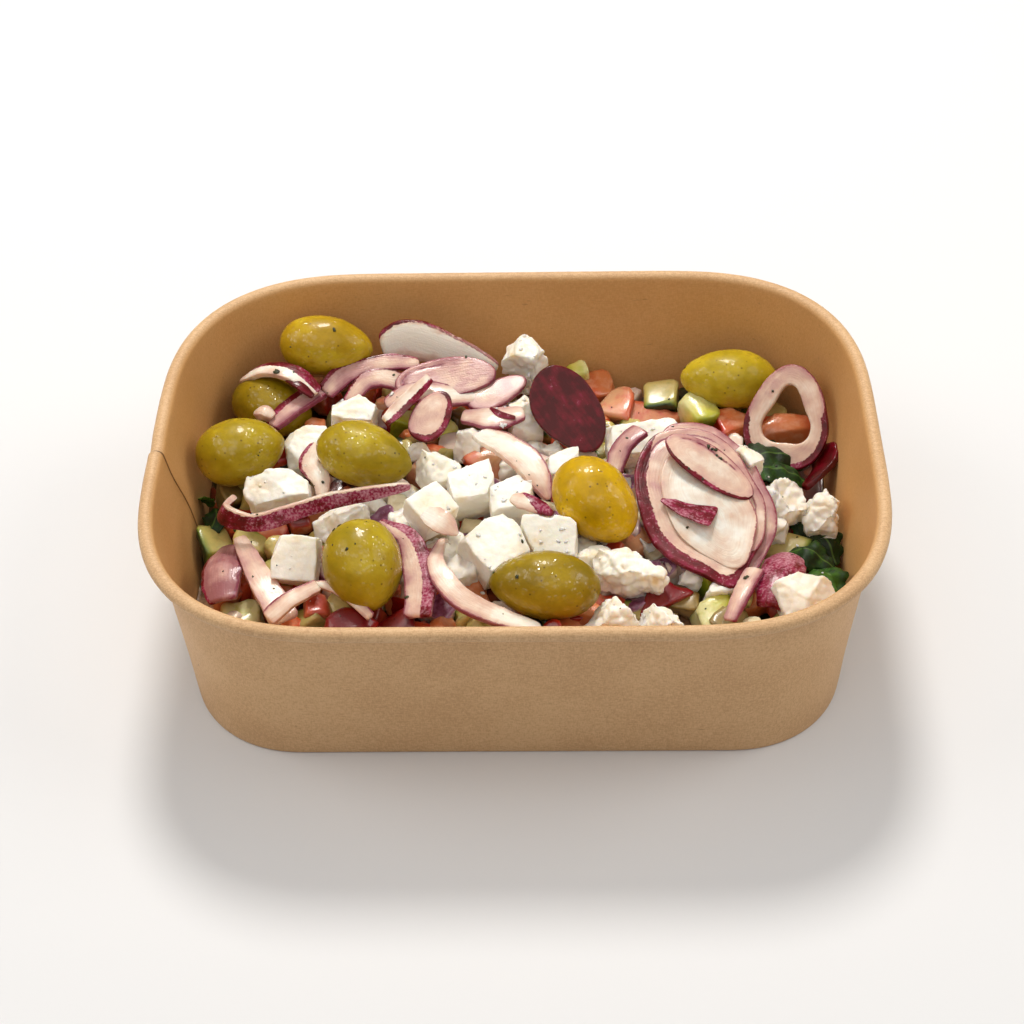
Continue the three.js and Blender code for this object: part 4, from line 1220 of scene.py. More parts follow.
# %% Slices of onion
# "bands" of skin and "lines": the way it faces and how far round in degrees, and its width or inset.
# "egg" is how much slimmer the slice gets towards the way it is turned, and "point" how much it
# narrows at its other end. "lobes" is how far the hole of a ring is from round.
SLICES = {
    "onion_top_oval": {
        "at": (46.3, 1.8, 38.3), "radii": (13.5, 5.4), "thick": 0.8, "facing": (0.1, -0.25, 1), "turn": -38,
        "bands": ((-125, 95, 1.1),), "lines": ((50, 110, 0.1), (60, 80, 1.8)), "tint": 0.14,
    },
    "onion_red_petal": {
        "at": (13, 28, 33), "radii": (13, 8.8), "thick": 1.6, "facing": (0.1, -0.6, 0.8), "turn": -52,
        "bands": ((0, 400, 30),), "lines": (), "tint": 0, "frost": -0.4, "grain": "length", "egg": 0.14,
    },
    "onion_small_oval": {
        "at": (-21, 22, 37), "radii": (7.8, 5.2), "thick": 1.4, "facing": (0, -0.35, 1), "turn": 62,
        "bands": ((-30, 115, 1.5),), "lines": ((150, 110, 0.1),), "tint": 0.18, "egg": 0.15,
    },
    "onion_big_slice": {
        "at": (44.2, -6.6, 33), "radii": (25, 16), "thick": 1.8, "facing": (0.04, -0.22, 1), "turn": 106,
        "bands": ((215, 105, 3.2),), "lines": ((40, 120, 0.15), (60, 110, 2.4)), "tint": 0.08, "point": 0.45,
    },
    "onion_ring": {
        "at": (68, 28, 30), "radii": (14.3, 11.2), "thick": 2.2, "facing": (-0.3, -0.62, 0.7), "turn": 75,
        "hole": 0.55, "bands": ((-100, 110, 1.7),), "lines": ((90, 150, 0.05),), "tint": 0.1, "egg": 0.22,
        "lobes": 0.13,
    },
    "onion_half_moon": {
        "at": (-18, 37.8, 35.5), "radii": (14, 6.6), "thick": 1.6, "facing": (0, -0.3, 1), "turn": 8,
        "bands": (), "lines": ((0, 400, 0.1), (180, 90, 2.2)), "tint": 0.25, "grain": "length",
    },
    "onion_pale_oval": {
        "at": (-5, 34.3, 33.5), "radii": (9.2, 4.4), "thick": 1.5, "facing": (0, -0.2, 1), "turn": 32,
        "bands": (), "lines": ((0, 400, 0.1),), "tint": 0.24, "egg": 0.15,
    },
}
SLIPPED_LAYERS = {
    "big_slice_heart": {
        "at": (46, -8.6, 34.1), "radii": (19, 10.6), "thick": 0.6, "facing": (0.0, -0.25, 1), "turn": 112,
        "bands": (), "lines": ((30, 110, 0.1),), "tint": 0.04, "point": 0.3,
    },
    "layer_under_slice": {
        "at": (47, -4.2, 31.6), "radii": (26, 15.5), "thick": 0.6, "facing": (0.02, -0.2, 1), "turn": 105,
        "bands": (), "lines": ((30, 170, 0.15),), "tint": 0.18, "point": 0.35,
    },
}
# "crowding" draws the rings towards the edge. "lip" draws the face in from the edge, in mm.
SLICE = {
    "around": 72, "rings": 12, "heart": 0.04, "lip": 0.25, "edge": 0.7, "groove": 0.25, "groove_width": 0.35,
    "uneven": 0.06, "uneven_size": 10, "nick": 0.012, "nick_size": 1.8, "warp": 0.7, "warp_size": 13,
    "blush": 0.15, "blush_from": 0.7, "crowding": 1.6, "lip_from": 0.9, "hole_edge": 0.6, "lobe_count": 3,
    "grooved_to": 0.95, "fades_from": 0.75, "degrees_per_mm": 10,
}
FIRST_SLICE_SEED = 40


def in_range(way, window):
    """1 in the middle of a window of directions, 0 outside it."""
    middle, reach, _ = window
    off = abs((way - middle + 180) % 360 - 180)
    return 1 - smooth(SLICE["fades_from"] * reach, reach, off)


def slice_profile(spec):
    """Share of the radius and height of each ring, over the top, the edge and below."""
    half = spec["thick"] / 2
    inner = spec.get("hole", SLICE["heart"])
    steps = SLICE["rings"]
    shares = [lerp(inner, 1, 1 - (1 - i / steps) ** SLICE["crowding"]) for i in range(steps + 1)]
    lip = SLICE["lip"] / spec["radii"][1]
    top = [(share - lip * (share > SLICE["lip_from"]), half) for share in shares]
    edge = [(1, half * SLICE["edge"]), (1, -half * SLICE["edge"])]
    under = [(share, -half) for share, _ in reversed(top)]
    if "hole" not in spec:
        return top + edge + under
    hole_edge = half * SLICE["hole_edge"]
    return top + edge + under + [(inner - lip, -hole_edge), (inner - lip, hole_edge)]


def slice_rim(spec, angle, seed):
    """A point on the outline of a slice, before the slice is tipped."""
    along, aside = math.cos(angle), math.sin(angle)
    slimmer = 1 - spec.get("egg", 0) * along
    slimmer *= 1 - spec.get("point", 0) * smooth(0, 1, -along) ** 2
    rim = Vector((along * spec["radii"][0], aside * spec["radii"][1] * slimmer, 0))
    uneven = SLICE["uneven"] * (wobble(rim * MM, SLICE["uneven_size"], seed) - 1)
    rim *= 1 + uneven + SLICE["nick"] * wobble(rim * MM, SLICE["nick_size"], seed + 1)
    rim.rotate(Quaternion((0, 0, 1), math.radians(spec["turn"])))
    return rim


def slice_rings(spec, seed):
    """The rings of a slice, with the marks of each point."""
    to_face = Vector((0, 0, 1)).rotation_difference(Vector(spec["facing"]))
    turn = math.radians(spec["turn"])
    lengthwise = Vector((math.cos(turn), math.sin(turn), 0))
    rings = []
    for share, height in slice_profile(spec):
        ring = []
        for i in range(SLICE["around"]):
            rim = slice_rim(spec, i / SLICE["around"] * 2 * math.pi, seed)
            lobe = math.cos(2 * SLICE["lobe_count"] * math.pi * i / SLICE["around"])
            lobed = spec.get("lobes", 0) * lobe * (1 - share)
            share_here = share * (1 + 2 * lobed)
            inset = max(1 - share_here, 0) * rim.length
            way = math.degrees(math.atan2(rim.y, rim.x))
            skin = max([band[2] * in_range(way, band) for band in spec["bands"]] + [-1]) - inset
            near = [abs(inset - line[2]) / max(in_range(way, line), 0.01) for line in spec["lines"]]
            line = min(near + [FAR_FROM_LINES])
            groove = SLICE["groove"] * math.exp(-(line / SLICE["groove_width"]) ** 2) * (height > 0)
            groove *= share < SLICE["grooved_to"]
            spot = rim * share_here + Vector((0, 0, height - groove))
            along, across = way / SLICE["degrees_per_mm"], inset
            if spec.get("grain") == "length":
                along = spot.dot(lengthwise)
                across = spot.cross(lengthwise).z
            spot.rotate(to_face)
            spot += Vector(spec["at"])
            spot.z += SLICE["warp"] * wobble(spot * MM, SLICE["warp_size"], seed)
            tint = spec["tint"] + SLICE["blush"] * (share - SLICE["blush_from"])
            ring.append((place(*spot), skin, line, tint, spec.get("frost", 0), along, across))
        rings.append(ring)
    return rings


def build_slices(material):
    pieces = []
    for i, (name, spec) in enumerate({**SLICES, **SLIPPED_LAYERS}.items()):
        bm = sweep(slice_rings(spec, FIRST_SLICE_SEED + i), marks=ONION_MARKS, closed_tube="hole" in spec)
        node = name if name in SLICES else None
        pieces.append(finish_piece(bm, name + "_slice", material, node, levels=1))
    return pieces


slices = build_slices(onion)
print("slices of onion:", len(slices))


# %% [markdown]
# ## Chopped vegetables
# Below the toppings lie diced tomato, cucumber, red pepper and onion, wet with oil and
# juice. What they share is a skin on one side and a flesh that changes with depth: a
# tomato has a thin deep red skin over orange-pink flesh, and a cucumber has a dark green
# skin, then a green line that fades to pale, watery flesh. So each dice carries one
# number on its points, the depth under its skin in millimetres, and each kind's material
# turns that depth into colour.

# %% Flesh under a skin
# Each kind: colours at depths in mm, how mottled it is, and the size of the mottling.
KINDS = {
    "tomato": {
        "depths": ((0, "7c0a06"), (0.5, "b02008"), (1.2, "ca5026"), (5, "de804a")),
        "tint": "f0b088", "mottle": 0.5, "size": 2.2,
    },
    "pink_tomato": {
        "depths": ((0, "b83018"), (0.6, "d86c48"), (2, "e29066"), (6, "e8ae80")),
        "tint": "d85c58", "mottle": 0.5, "size": 2.6,
    },
    "cucumber": {
        "depths": ((0, "0c1c06"), (0.5, "1c3a0a"), (1, "7c8c30"), (2, "b8ac5c"), (6, "ccb870")),
        "tint": "98984c", "mottle": 0.45, "size": 1.8,
    },
    "yellow_cucumber": {
        "depths": ((0, "7c8a14"), (0.8, "b8b82c"), (2.5, "e0d868"), (6, "ece6a6")),
        "tint": "c8cc3c", "mottle": 0.5, "size": 2.2,
    },
    "pepper": {
        "depths": ((0, "6a0208"), (1, "8e0610"), (2.2, "b82a1a"), (5, "c8502c")),
        "tint": "a01018", "mottle": 0.4, "size": 2.5,
    },
    "brown_cut": {
        "depths": ((0, "3a240c"), (1, "5c4218"), (3, "846a30"), (6, "a08850")),
        "tint": "4a4418", "mottle": 0.6, "size": 2,
    },
    "onion_dice": {
        "depths": ((0, "5a1030"), (0.35, "a0688a"), (0.8, "dcc0b8"), (5, "ecd8c6")),
        "tint": "d4b0b0", "mottle": 0.4, "size": 3,
    },
    "beige_dice": {
        "depths": ((0, "d8c8a0"), (4, "e6dab8")), "tint": "c4b080", "mottle": 0.5, "size": 1.2,
    },
}
DEEPEST = 8
# In mm: the skin's ragged edge, the cut face's grain and relief, and how far light goes in.
CUT_FACE = {"ragged": 1.2, "grain": 0.8, "relief": 0.2, "light_reach": 1.5}


def flesh_material(kind):
    look = KINDS[kind]
    material, tree = new_material(kind + "_flesh")
    spot = add(tree, "TexCoord").outputs["Object"]
    depth = add(tree, "Attribute", attribute_name="depth").outputs["Fac"]
    ragged = add(tree, "TexNoise", {"Vector": spot, "Scale": scale_of(CUT_FACE["ragged"]), "Detail": 3})
    shifted = add(tree, "Math", {0: ragged.outputs["Fac"], 1: 0.5, 2: depth}, operation="MULTIPLY_ADD")
    share = add(tree, "MapRange", {"Value": shifted.outputs[0], "From Min": 0.2, "From Max": DEEPEST + 0.2})
    stops = [(mm / DEEPEST, tone) for mm, tone in look["depths"]]
    flesh = add(tree, "ValToRGB", {"Fac": share.outputs[0]}, stops=stops)
    mottle = add(tree, "TexNoise", {"Vector": spot, "Scale": scale_of(look["size"]), "Detail": 4})
    tint_share = add(tree, "MapRange", {
        "Value": mottle.outputs["Fac"], "From Min": 0.48, "From Max": 0.68, "To Max": look["mottle"],
    })
    below_skin = add(tree, "MapRange", {"Value": depth, "From Min": 0.3, "From Max": 1.2})
    tint_here = add(tree, "Math", {0: tint_share.outputs[0], 1: below_skin.outputs[0]}, operation="MULTIPLY")
    tinted = add(tree, "Mix", {
        0: tint_here.outputs[0], MIX_A: flesh.outputs[0], MIX_B: colour(look["tint"]),
    }, data_type="RGBA")
    shade = add(tree, "Attribute", attribute_name="shade").outputs["Fac"]
    shaded = add(tree, "HueSaturation", {"Value": shade, "Color": tinted.outputs[MIX_RESULT]})
    grain = add(tree, "TexNoise", {"Vector": spot, "Scale": scale_of(CUT_FACE["grain"]), "Detail": 3})
    bump = add(tree, "Bump", {
        "Height": grain.outputs["Fac"], "Strength": 0.45, "Distance": CUT_FACE["relief"] * MM,
    })
    return finish_material(material, {
        "Base Color": shaded.outputs[0], "Roughness": 0.35, "Normal": bump.outputs[0],
        "Subsurface Weight": 0.2, "Subsurface Radius": (1, 0.5, 0.3),
        "Subsurface Scale": CUT_FACE["light_reach"] * MM,
        "Coat Weight": 0.5, "Coat Roughness": 0.16,
    })


# %% [markdown]
# ## Dice that fit under the toppings
# A dice must not poke up through an olive or a lump of feta. So rays go up from just above
# the bowl's floor to find the lowest topping there, and the dice is lowered until it fits.

# %% Room under the toppings
def toppings_tree():
    """A search tree over the solids of every topping."""
    points, faces = [], []
    for name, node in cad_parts.items():
        if name in ("bowl", "salad_heap"):
            continue
        first = len(points)
        points += [vert.co.copy() for vert in node.data.vertices]
        faces += [[first + i for i in face.vertices] for face in node.data.polygons]
    return BVHTree.FromPolygons(points, faces)


TOPPINGS = toppings_tree()
CHECK_FROM, CHECK_REACH = 5, 60


def ceiling(x, y, reach):
    """Height of the lowest topping above a dice that reaches this far from x, y."""
    lowest = CHECK_REACH
    for dx, dy in ((0, 0), (1, 0), (-1, 0), (0, 1), (0, -1)):
        start = place(x + dx * reach, y + dy * reach, CHECK_FROM)
        hit = TOPPINGS.ray_cast(start, Vector((0, 0, 1)))[0]
        if hit:
            lowest = min(lowest, hit.z / MM)
    return lowest


# %% [markdown]
# ## The heap's core
# Below the pieces that show, the salad is a wet mass of scraps in oil and juice. Dice all
# the way down would nearly all be hidden, so a solid core takes their place. Its rings
# climb the bowl's wall, then run inwards over low hills to the middle. Its colour is
# darkened as painted shade, for the gaps where it shows between the toppings.

# %% The heap's core
HEAP = {
    "level": 19.5, "edge_drop": 3, "side_gap": 0.9, "under_gap": 0.3, "rings": 34,
    "lump": 5, "lump_height": 2.2, "lump_flat": 0.5, "lump_sunk": 1.2, "crumble": (0.3, 2),
}
# Height of each lower ring of the core, and how far it lies inside the bowl's wall.
CORE_SIDES = ((BOWL["floor"] + HEAP["side_gap"], 2), (8, 0.5), (14, 0.3))
# Middle, height and spread of the hills and hollows of the heap.
HILLS = (
    ((-10, -12), 5, 34), ((-50, 25), 4, 22), ((-78, -5), -7, 16), ((40, 48), -5, 24),
    ((74, 12), -5, 18), ((76, -16), -5, 14), ((10, -52), 5, 24),
)


def heap_height(x, y):
    """How high the heap's core stands at a place, without its lumps."""
    height = HEAP["level"]
    for (hill_x, hill_y), rise, spread in HILLS:
        height += rise * math.exp(-((x - hill_x) ** 2 + (y - hill_y) ** 2) / spread ** 2)
    return height


def lumps_at(spot):
    """Height of the small lumps that cover the core, in millimetres."""
    near, second = noise.voronoi(spot / (HEAP["lump"] * MM))[0][:2]
    dome = min(second - near, HEAP["lump_flat"])
    return HEAP["lump_height"] * (dome + layered_wobble(spot, [HEAP["crumble"]], 5)) - HEAP["lump_sunk"]


# The near-black juice colour is partly wet juice and partly painted shade between the toppings.
MASH = {"scrap": HEAP["lump"], "mottle": 1.5, "juice_and_shade": "2c1408", "relief": 0.4}


def mash_material():
    """Small scraps of everything, each a few millimetres wide, wet, and darkened to paint the shade of the
    gaps where they show.
    """
    material, tree = new_material("chopped_mash")
    spot = add(tree, "TexCoord").outputs["Object"]
    cells = add(tree, "TexVoronoi", {"Vector": spot, "Scale": scale_of(MASH["scrap"])})
    pick = add(tree, "SeparateColor", {"Color": cells.outputs["Color"]})
    # The scraps' colours are darker than fresh vegetables, as painted shade.
    scraps = add(tree, "ValToRGB", {"Fac": pick.outputs[0]}, stops=[
        (0.0, "5c1408"), (0.22, "7c3414"), (0.4, "2a300c"), (0.55, "6c5a24"), (0.7, "8c6a50"),
        (0.85, "3c1408"),
    ])
    scraps.color_ramp.interpolation = "CONSTANT"
    mottle = add(tree, "TexNoise", {"Vector": spot, "Scale": scale_of(MASH["mottle"]), "Detail": 4})
    shade = add(tree, "MapRange", {
        "Value": mottle.outputs["Fac"], "From Min": 0.4, "From Max": 0.7, "To Max": 0.6,
    })
    mixed = add(tree, "Mix", {
        0: shade.outputs[0], MIX_A: scraps.outputs[0], MIX_B: colour(MASH["juice_and_shade"]),
    }, data_type="RGBA")
    bump = add(tree, "Bump", {
        "Height": mottle.outputs["Fac"], "Strength": 0.5, "Distance": MASH["relief"] * MM,
    })
    return finish_material(material, {
        "Base Color": mixed.outputs[MIX_RESULT], "Roughness": 0.3, "Normal": bump.outputs[0],
        "Coat Weight": 0.5,
    })


def build_core():
    """The solid heap under the pieces: its sides, and rings that climb to its middle."""
    offset = -BOWL["wall"] - HEAP["side_gap"]
    rings = [
        [(place(*point),) for point in outline(z, offset - inset)[0]] for z, inset in CORE_SIDES
    ]
    for i in range(HEAP["rings"], 0, -1):
        share = i / HEAP["rings"]
        ring = []
        for edge in outline(HEAP["level"], offset)[0]:
            x, y = edge.x * share, edge.y * share
            top = heap_height(x, y) - HEAP["edge_drop"] * share ** 6
            top += lumps_at(place(x, y, top))
            ring.append((place(x, y, min(top, ceiling(x, y, 0) - HEAP["under_gap"])),))
        rings.append(ring)
    return finish_piece(sweep(rings), "salad_core", mash_material(), "salad_heap")


core = build_core()
print("core:", len(core.data.polygons), "faces")

# %% [markdown]
# ## Diced vegetables
# A dice that is cut by hand is never a true cube. So each starts as a divided cube, and
# its points move: the corners draw in, and the faces skew and wave. The dice that can be
# made out have their own places. The rest come from a seeded random stream, in rows set
# off like bricks, so that they cover the heap evenly.

# %% Cutting dice
# Kind, middle, size, turn about the vertical, and the way its skin faces before the turn.
UP, DOWN, FRONT, BACK, RIGHT, LEFT = (0, 0, 1), (0, 0, -1), (0, -1, 0), (0, 1, 0), (1, 0, 0), (-1, 0, 0)
DICE = (
    ("tomato", (21, 49, 20), (9, 8, 9), 20, LEFT),
    ("pink_tomato", (25.5, 41.5, 21), (9, 8, 7), -25, RIGHT),
    ("pink_tomato", (33, 38, 19), (17, 7, 6), -8, BACK),
    ("tomato", (54, 34, 21), (8, 8, 9), 30, LEFT),
    ("tomato", (69, 34, 20), (14, 8, 7), 10, RIGHT),
    ("cucumber", (37, 45, 21.5), (9, 8, 6), -4, FRONT),
    ("yellow_cucumber", (47.5, 37, 22.5), (9, 8, 10), 15, FRONT),
    ("cucumber", (65, -10, 19), (12, 10, 9), -20, RIGHT),
    ("cucumber", (-74, -4, 17), (8, 7, 9), 30, LEFT),
    ("cucumber", (-64, -6, 19), (8, 7, 9), -20, BACK),
    ("yellow_cucumber", (-64, -31, 20), (9, 9, 9), 12, DOWN),
    ("yellow_cucumber", (15, 52, 23), (6, 5, 8), 10, LEFT),
    ("yellow_cucumber", (46, -33, 22), (9, 7, 7), 25, RIGHT),
    ("brown_cut", (39, -28, 22), (9, 6, 6), -15, BACK),
    ("pepper", (34, -29, 24), (12, 5, 5), 30, UP),
    ("pink_tomato", (-8, 15, 27), (10, 8, 7), 15, LEFT),
    ("pepper", (-37, -40, 26), (10, 8, 8), -30, UP),
    ("pepper", (-27, -40, 25), (8, 7, 8), 20, UP),
    ("tomato", (-11, -27, 24), (8, 7, 7), 0, DOWN),
    ("brown_cut", (50, -36, 22), (9, 8, 7), 40, DOWN),
    ("beige_dice", (55, -38, 24), (4, 4, 4), 30, DOWN),
)
# Sizes in mm, the tilt in degrees, and shares. "corner" is how far a cube's corner lies from
# its middle. "shade" is the darkest, the lightest, and how much they count.
CUT = {
    "cuts": 5, "crisp": 0.7, "round": 0.2, "corner": 1.73, "skew": 0.4, "shade": (-1, 0.5, 0.25),
    "uneven": 0.28, "uneven_size": 6, "fine": 0.6, "fine_size": 2.5, "tilt": 8,
}


def cut_dice(bm, spec, seed, tilt=0):
    """Adds one dice to the bmesh: a cube, divided, made uneven and put in its place."""
    _, at, size, turn, skin_way = spec
    depth, shade = bm.verts.layers.float["depth"], bm.verts.layers.float["shade"]
    first = len(bm.verts)
    corners = bmesh.ops.create_cube(bm, size=2)["verts"]
    edges = {edge for vert in corners for edge in vert.link_edges}
    bmesh.ops.subdivide_edges(bm, edges=list(edges), cuts=CUT["cuts"], use_grid_fill=True)
    way, half = Vector(skin_way), Vector(size) / 2
    chance = random.Random(seed)
    skew = [chance.uniform(-1, 1) * CUT["skew"] for _ in range(3)]
    darkest, lightest, strength = CUT["shade"]
    lighter = 1 + chance.uniform(darkest, lightest) * strength
    turned = Matrix.Rotation(math.radians(turn), 4, "Z") @ Matrix.Rotation(math.radians(tilt), 4, "X")
    shape = Matrix.Translation(place(*at)) @ turned
    for vert in list(bm.verts)[first:]:
        unit = Vector([math.copysign(abs(part) ** CUT["crisp"], part) for part in vert.co])
        unit *= 1 - CUT["round"] * (unit.length / CUT["corner"]) ** 6
        vert[depth] = (1 - unit.dot(way)) * abs(half.dot(way))
        vert[shade] = lighter
        skewed = Vector((
            unit.x * (1 + skew[0] * unit.y), unit.y * (1 + skew[1] * unit.z), unit.z * (1 + skew[2] * unit.x),
        ))
        spot = Vector([skewed[i] * half[i] for i in range(3)])
        spot *= 1 + CUT["uneven"] * wobble(spot * MM, CUT["uneven_size"], seed)
        spot += unit * CUT["fine"] * wobble(spot * MM, CUT["fine_size"], seed + 1)
        vert.co = shape @ (spot * MM)


# %% Scattered dice
# How often each kind turns up among the fillers, and in the pale middle.
FILLER_KINDS = {
    "tomato": 5, "pink_tomato": 3, "cucumber": 5, "yellow_cucumber": 2, "pepper": 2, "brown_cut": 2,
    "onion_dice": 4,
}
PALE_KINDS = ("onion_dice", "onion_dice", "pink_tomato", "beige_dice")
PALE_MIDDLE = {"at": (4, -4), "reach": (44, 27)}
# Rows count from the middle to each end. "reach" is how much of its size a dice needs around it.
FILLERS = {
    "rows": 9, "columns": 13, "spacing": 6.6, "row_spacing": 0.87, "wander": 3.5, "size": (4.5, 8),
    "tilt": 30, "lift": 2.2, "apart": 5.5, "reach": 0.62, "ceiling_reach": 3, "seed": 7,
}
# Height at which the bowl's wall is looked at.
WALL_LEVEL = 14


def in_pale_middle(x, y):
    """Whether a place lies in the middle, where feta and onion fill the gaps."""
    middle, reach = PALE_MIDDLE["at"], PALE_MIDDLE["reach"]
    return math.hypot((x - middle[0]) / reach[0], (y - middle[1]) / reach[1]) < 1


def filler_dice():
    """Seeded dice all over the heap, each lowered to fit below what lies on it."""
    chance = random.Random(FILLERS["seed"])
    kinds = [kind for kind, share in FILLER_KINDS.items() for _ in range(share)]
    found = []
    for row in range(-FILLERS["rows"], FILLERS["rows"] + 1):
        for column in range(-FILLERS["columns"], FILLERS["columns"] + 1):
            x = (column + row % 2 / 2) * FILLERS["spacing"]
            y = row * FILLERS["spacing"] * FILLERS["row_spacing"]
            x += chance.uniform(-1, 1) * FILLERS["wander"]
            y += chance.uniform(-1, 1) * FILLERS["wander"]
            size = [chance.uniform(*FILLERS["size"]) for _ in range(3)]
            kind = chance.choice(kinds)
            turn = chance.uniform(0, 360)
            tilt = chance.uniform(-FILLERS["tilt"], FILLERS["tilt"])
            way = chance.choice((UP, DOWN, RIGHT, LEFT, FRONT))
            if any(math.hypot(spec[1][0] - x, spec[1][1] - y) < FILLERS["apart"] for spec in DICE):
                continue
            if not inside_bowl(x, y, max(size) * FILLERS["reach"]):
                continue
            if in_pale_middle(x, y):
                kind = chance.choice(PALE_KINDS)
            room = ceiling(x, y, FILLERS["ceiling_reach"]) - size[2] * FILLERS["reach"]
            z = min(heap_height(x, y) + FILLERS["lift"], room)
            found.append(((kind, (x, y, z), size, turn, way), tilt))
    return found


def inside_bowl(x, y, reach):
    """Whether a piece that reaches this far stays clear of the bowl's wall."""
    points, _ = outline(WALL_LEVEL, -BOWL["wall"] - reach)
    half_length, half_width = max(point.x for point in points), max(point.y for point in points)
    corner = BOWL["foot"]["corner"]
    over_x, over_y = abs(x) - half_length + corner, abs(y) - half_width + corner
    if over_x > 0 and over_y > 0:
        return math.hypot(over_x, over_y) < corner
    return over_x < corner and over_y < corner


def build_dice():
    """One piece for each kind, with all of its dice."""
    chosen = [(spec, CUT["tilt"]) for spec in DICE]
    everything = chosen + filler_dice()
    for kind in KINDS:
        bm = bmesh.new()
        bm.verts.layers.float.new("depth")
        bm.verts.layers.float.new("shade")
        for seed, (spec, tilt) in enumerate(everything):
            if spec[0] == kind:
                cut_dice(bm, spec, seed, tilt)
        piece = finish_piece(bm, kind + "_pieces", flesh_material(kind))
        print(piece.name, len(piece.data.polygons), "faces")


build_dice()

# %% [markdown]
# ## Broken feta between the lumps
# Cutting feta leaves bits of every size, and they fill the gaps between the big lumps.
# They are blocks with their corners broken off, like the lumps, but all of them go
# through one voxel remesh, so bits that touch stick together as wet cheese does.

# %% Bits of feta
# Middle, size and turn of the lumps that show among the vegetables.
HALF_HIDDEN = (
    ((-12, 20, 30), (8, 9, 9), -10), ((18, -21, 29), (8, 8, 9), 20), ((-27, -11, 28), (9, 8, 10), 8),
    ((-13, -23, 28), (8, 9, 11), 20), ((48, -25, 25), (11, 8, 7), 10), ((61, -6, 26), (7, 8, 6), 25),
    ((2.5, 45.5, 36), (12, 8, 9), -20),
)
BITS = {
    "count": 130, "size": (3, 6.5), "crumbly": 0.8, "voxel": 0.45, "spread": 1.1, "tilt": 40, "lift": 4.5,
    "ceiling_reach": 2, "lump_tilt": 8,
}
BITS_SEEDS = {"places": 21, "relief": 50, "lumps": 60, "bits": 80}


def feta_block(bm, at, size, turn, tilt, seed):
    """Adds a block with broken corners to the bmesh."""
    block = bmesh.new()
    bmesh.ops.create_cube(block, size=1)
    to_size = Matrix.Diagonal((*[side * MM for side in size], 1))
    bmesh.ops.transform(block, matrix=to_size, verts=block.verts)
    break_corners(block, BITS["crumbly"], seed)
    turned = Matrix.Rotation(math.radians(turn), 4, "Z") @ Matrix.Rotation(math.radians(tilt), 4, "X")
    bmesh.ops.transform(block, matrix=Matrix.Translation(place(*at)) @ turned, verts=block.verts)
    mesh = bpy.data.meshes.new("block")
    block.to_mesh(mesh)
    block.free()
    bm.from_mesh(mesh)
    bpy.data.meshes.remove(mesh)


def build_feta_bits():
    bm = bmesh.new()
    for i, (at, size, turn) in enumerate(HALF_HIDDEN):
        feta_block(bm, at, size, turn, BITS["lump_tilt"], BITS_SEEDS["lumps"] + i)
    chance = random.Random(BITS_SEEDS["places"])
    middle, reach = PALE_MIDDLE["at"], PALE_MIDDLE["reach"]
    for i in range(BITS["count"]):
        away, angle = math.sqrt(chance.random()), chance.uniform(0, 2 * math.pi)
        x = middle[0] + math.cos(angle) * away * reach[0] * BITS["spread"]
        y = middle[1] + math.sin(angle) * away * reach[1] * BITS["spread"]
        size = [chance.uniform(*BITS["size"]) for _ in range(3)]
        room = ceiling(x, y, BITS["ceiling_reach"]) - size[2] / 2
        z = min(heap_height(x, y) + BITS["lift"], room)
        turn = chance.uniform(0, 360)
        tilt = chance.uniform(-BITS["tilt"], BITS["tilt"])
        feta_block(bm, (x, y, z), size, turn, tilt, BITS_SEEDS["bits"] + i)
    bm = remeshed(bm, BITS["voxel"])
    roughen(bm, BITS["crumbly"], BITS_SEEDS["relief"])
    return finish_piece(bm, "feta_bits", paste)


feta_bits = build_feta_bits()
print("feta bits:", len(feta_bits.data.polygons), "faces")

# %% [markdown]
# ## Herbs
# Torn parsley lies between the vegetables, mostly at the right. A leaf is a thin wavy
# sheet, widest in its middle and torn along its edges, with a pale midrib. It is the same
# kind of sweep as a strip of onion, only thinner and more crumpled.

# %% Herb leaves
LEAF = {
    "dark": "0e1c08", "green": "1c3a0e", "bright": "3f6a1a", "rib": "5a7a34", "steps": 30, "across": 9,
    "mottle": 2, "vein": 0.7, "relief": 0.2, "rib_edges": (0.3, 0.1), "blunt": 0.15,
    "half_thickness": 0.12, "torn": (0.35, 1.6), "crumple": (1.1, 3), "droop": 0.25,
}
# Path, width, and how bright green.
LEAVES = (
    ([(52, 15, 22), (59, 18, 26), (66, 20, 25), (72, 19, 21)], 12, 0.05),
    ([(52, 10, 23), (58, 13, 26.5), (66, 14, 25), (73, 13, 21)], 9, 0.2),
    ([(58, 21, 21), (63, 23, 24), (69, 22, 22)], 7, 0.1),
    ([(66, 2, 22), (71, -3, 24), (75, -8, 22), (77, -13, 19)], 11, 0.05),
    ([(64, -12, 22), (70, -14, 25), (76, -17, 22)], 9, 0.1),
    ([(70, -17, 22), (74, -22, 25), (76, -27, 22)], 8, 0.3),
    ([(66, -22, 24), (71, -24, 27), (75, -29, 25)], 5, 0.4),
    ([(-77, 12, 16), (-77.5, 9, 22), (-77, 5, 26)], 4, 1),
    ([(-76, 8, 19), (-74, 2, 23), (-76, -4, 20)], 7, 0.1),
    ([(-70, 2, 21), (-66, -2, 24), (-60, -3, 22)], 6, 0.15),
    ([(46, 8, 22), (50, 13, 24), (54, 16, 22)], 5, 0.3),
)


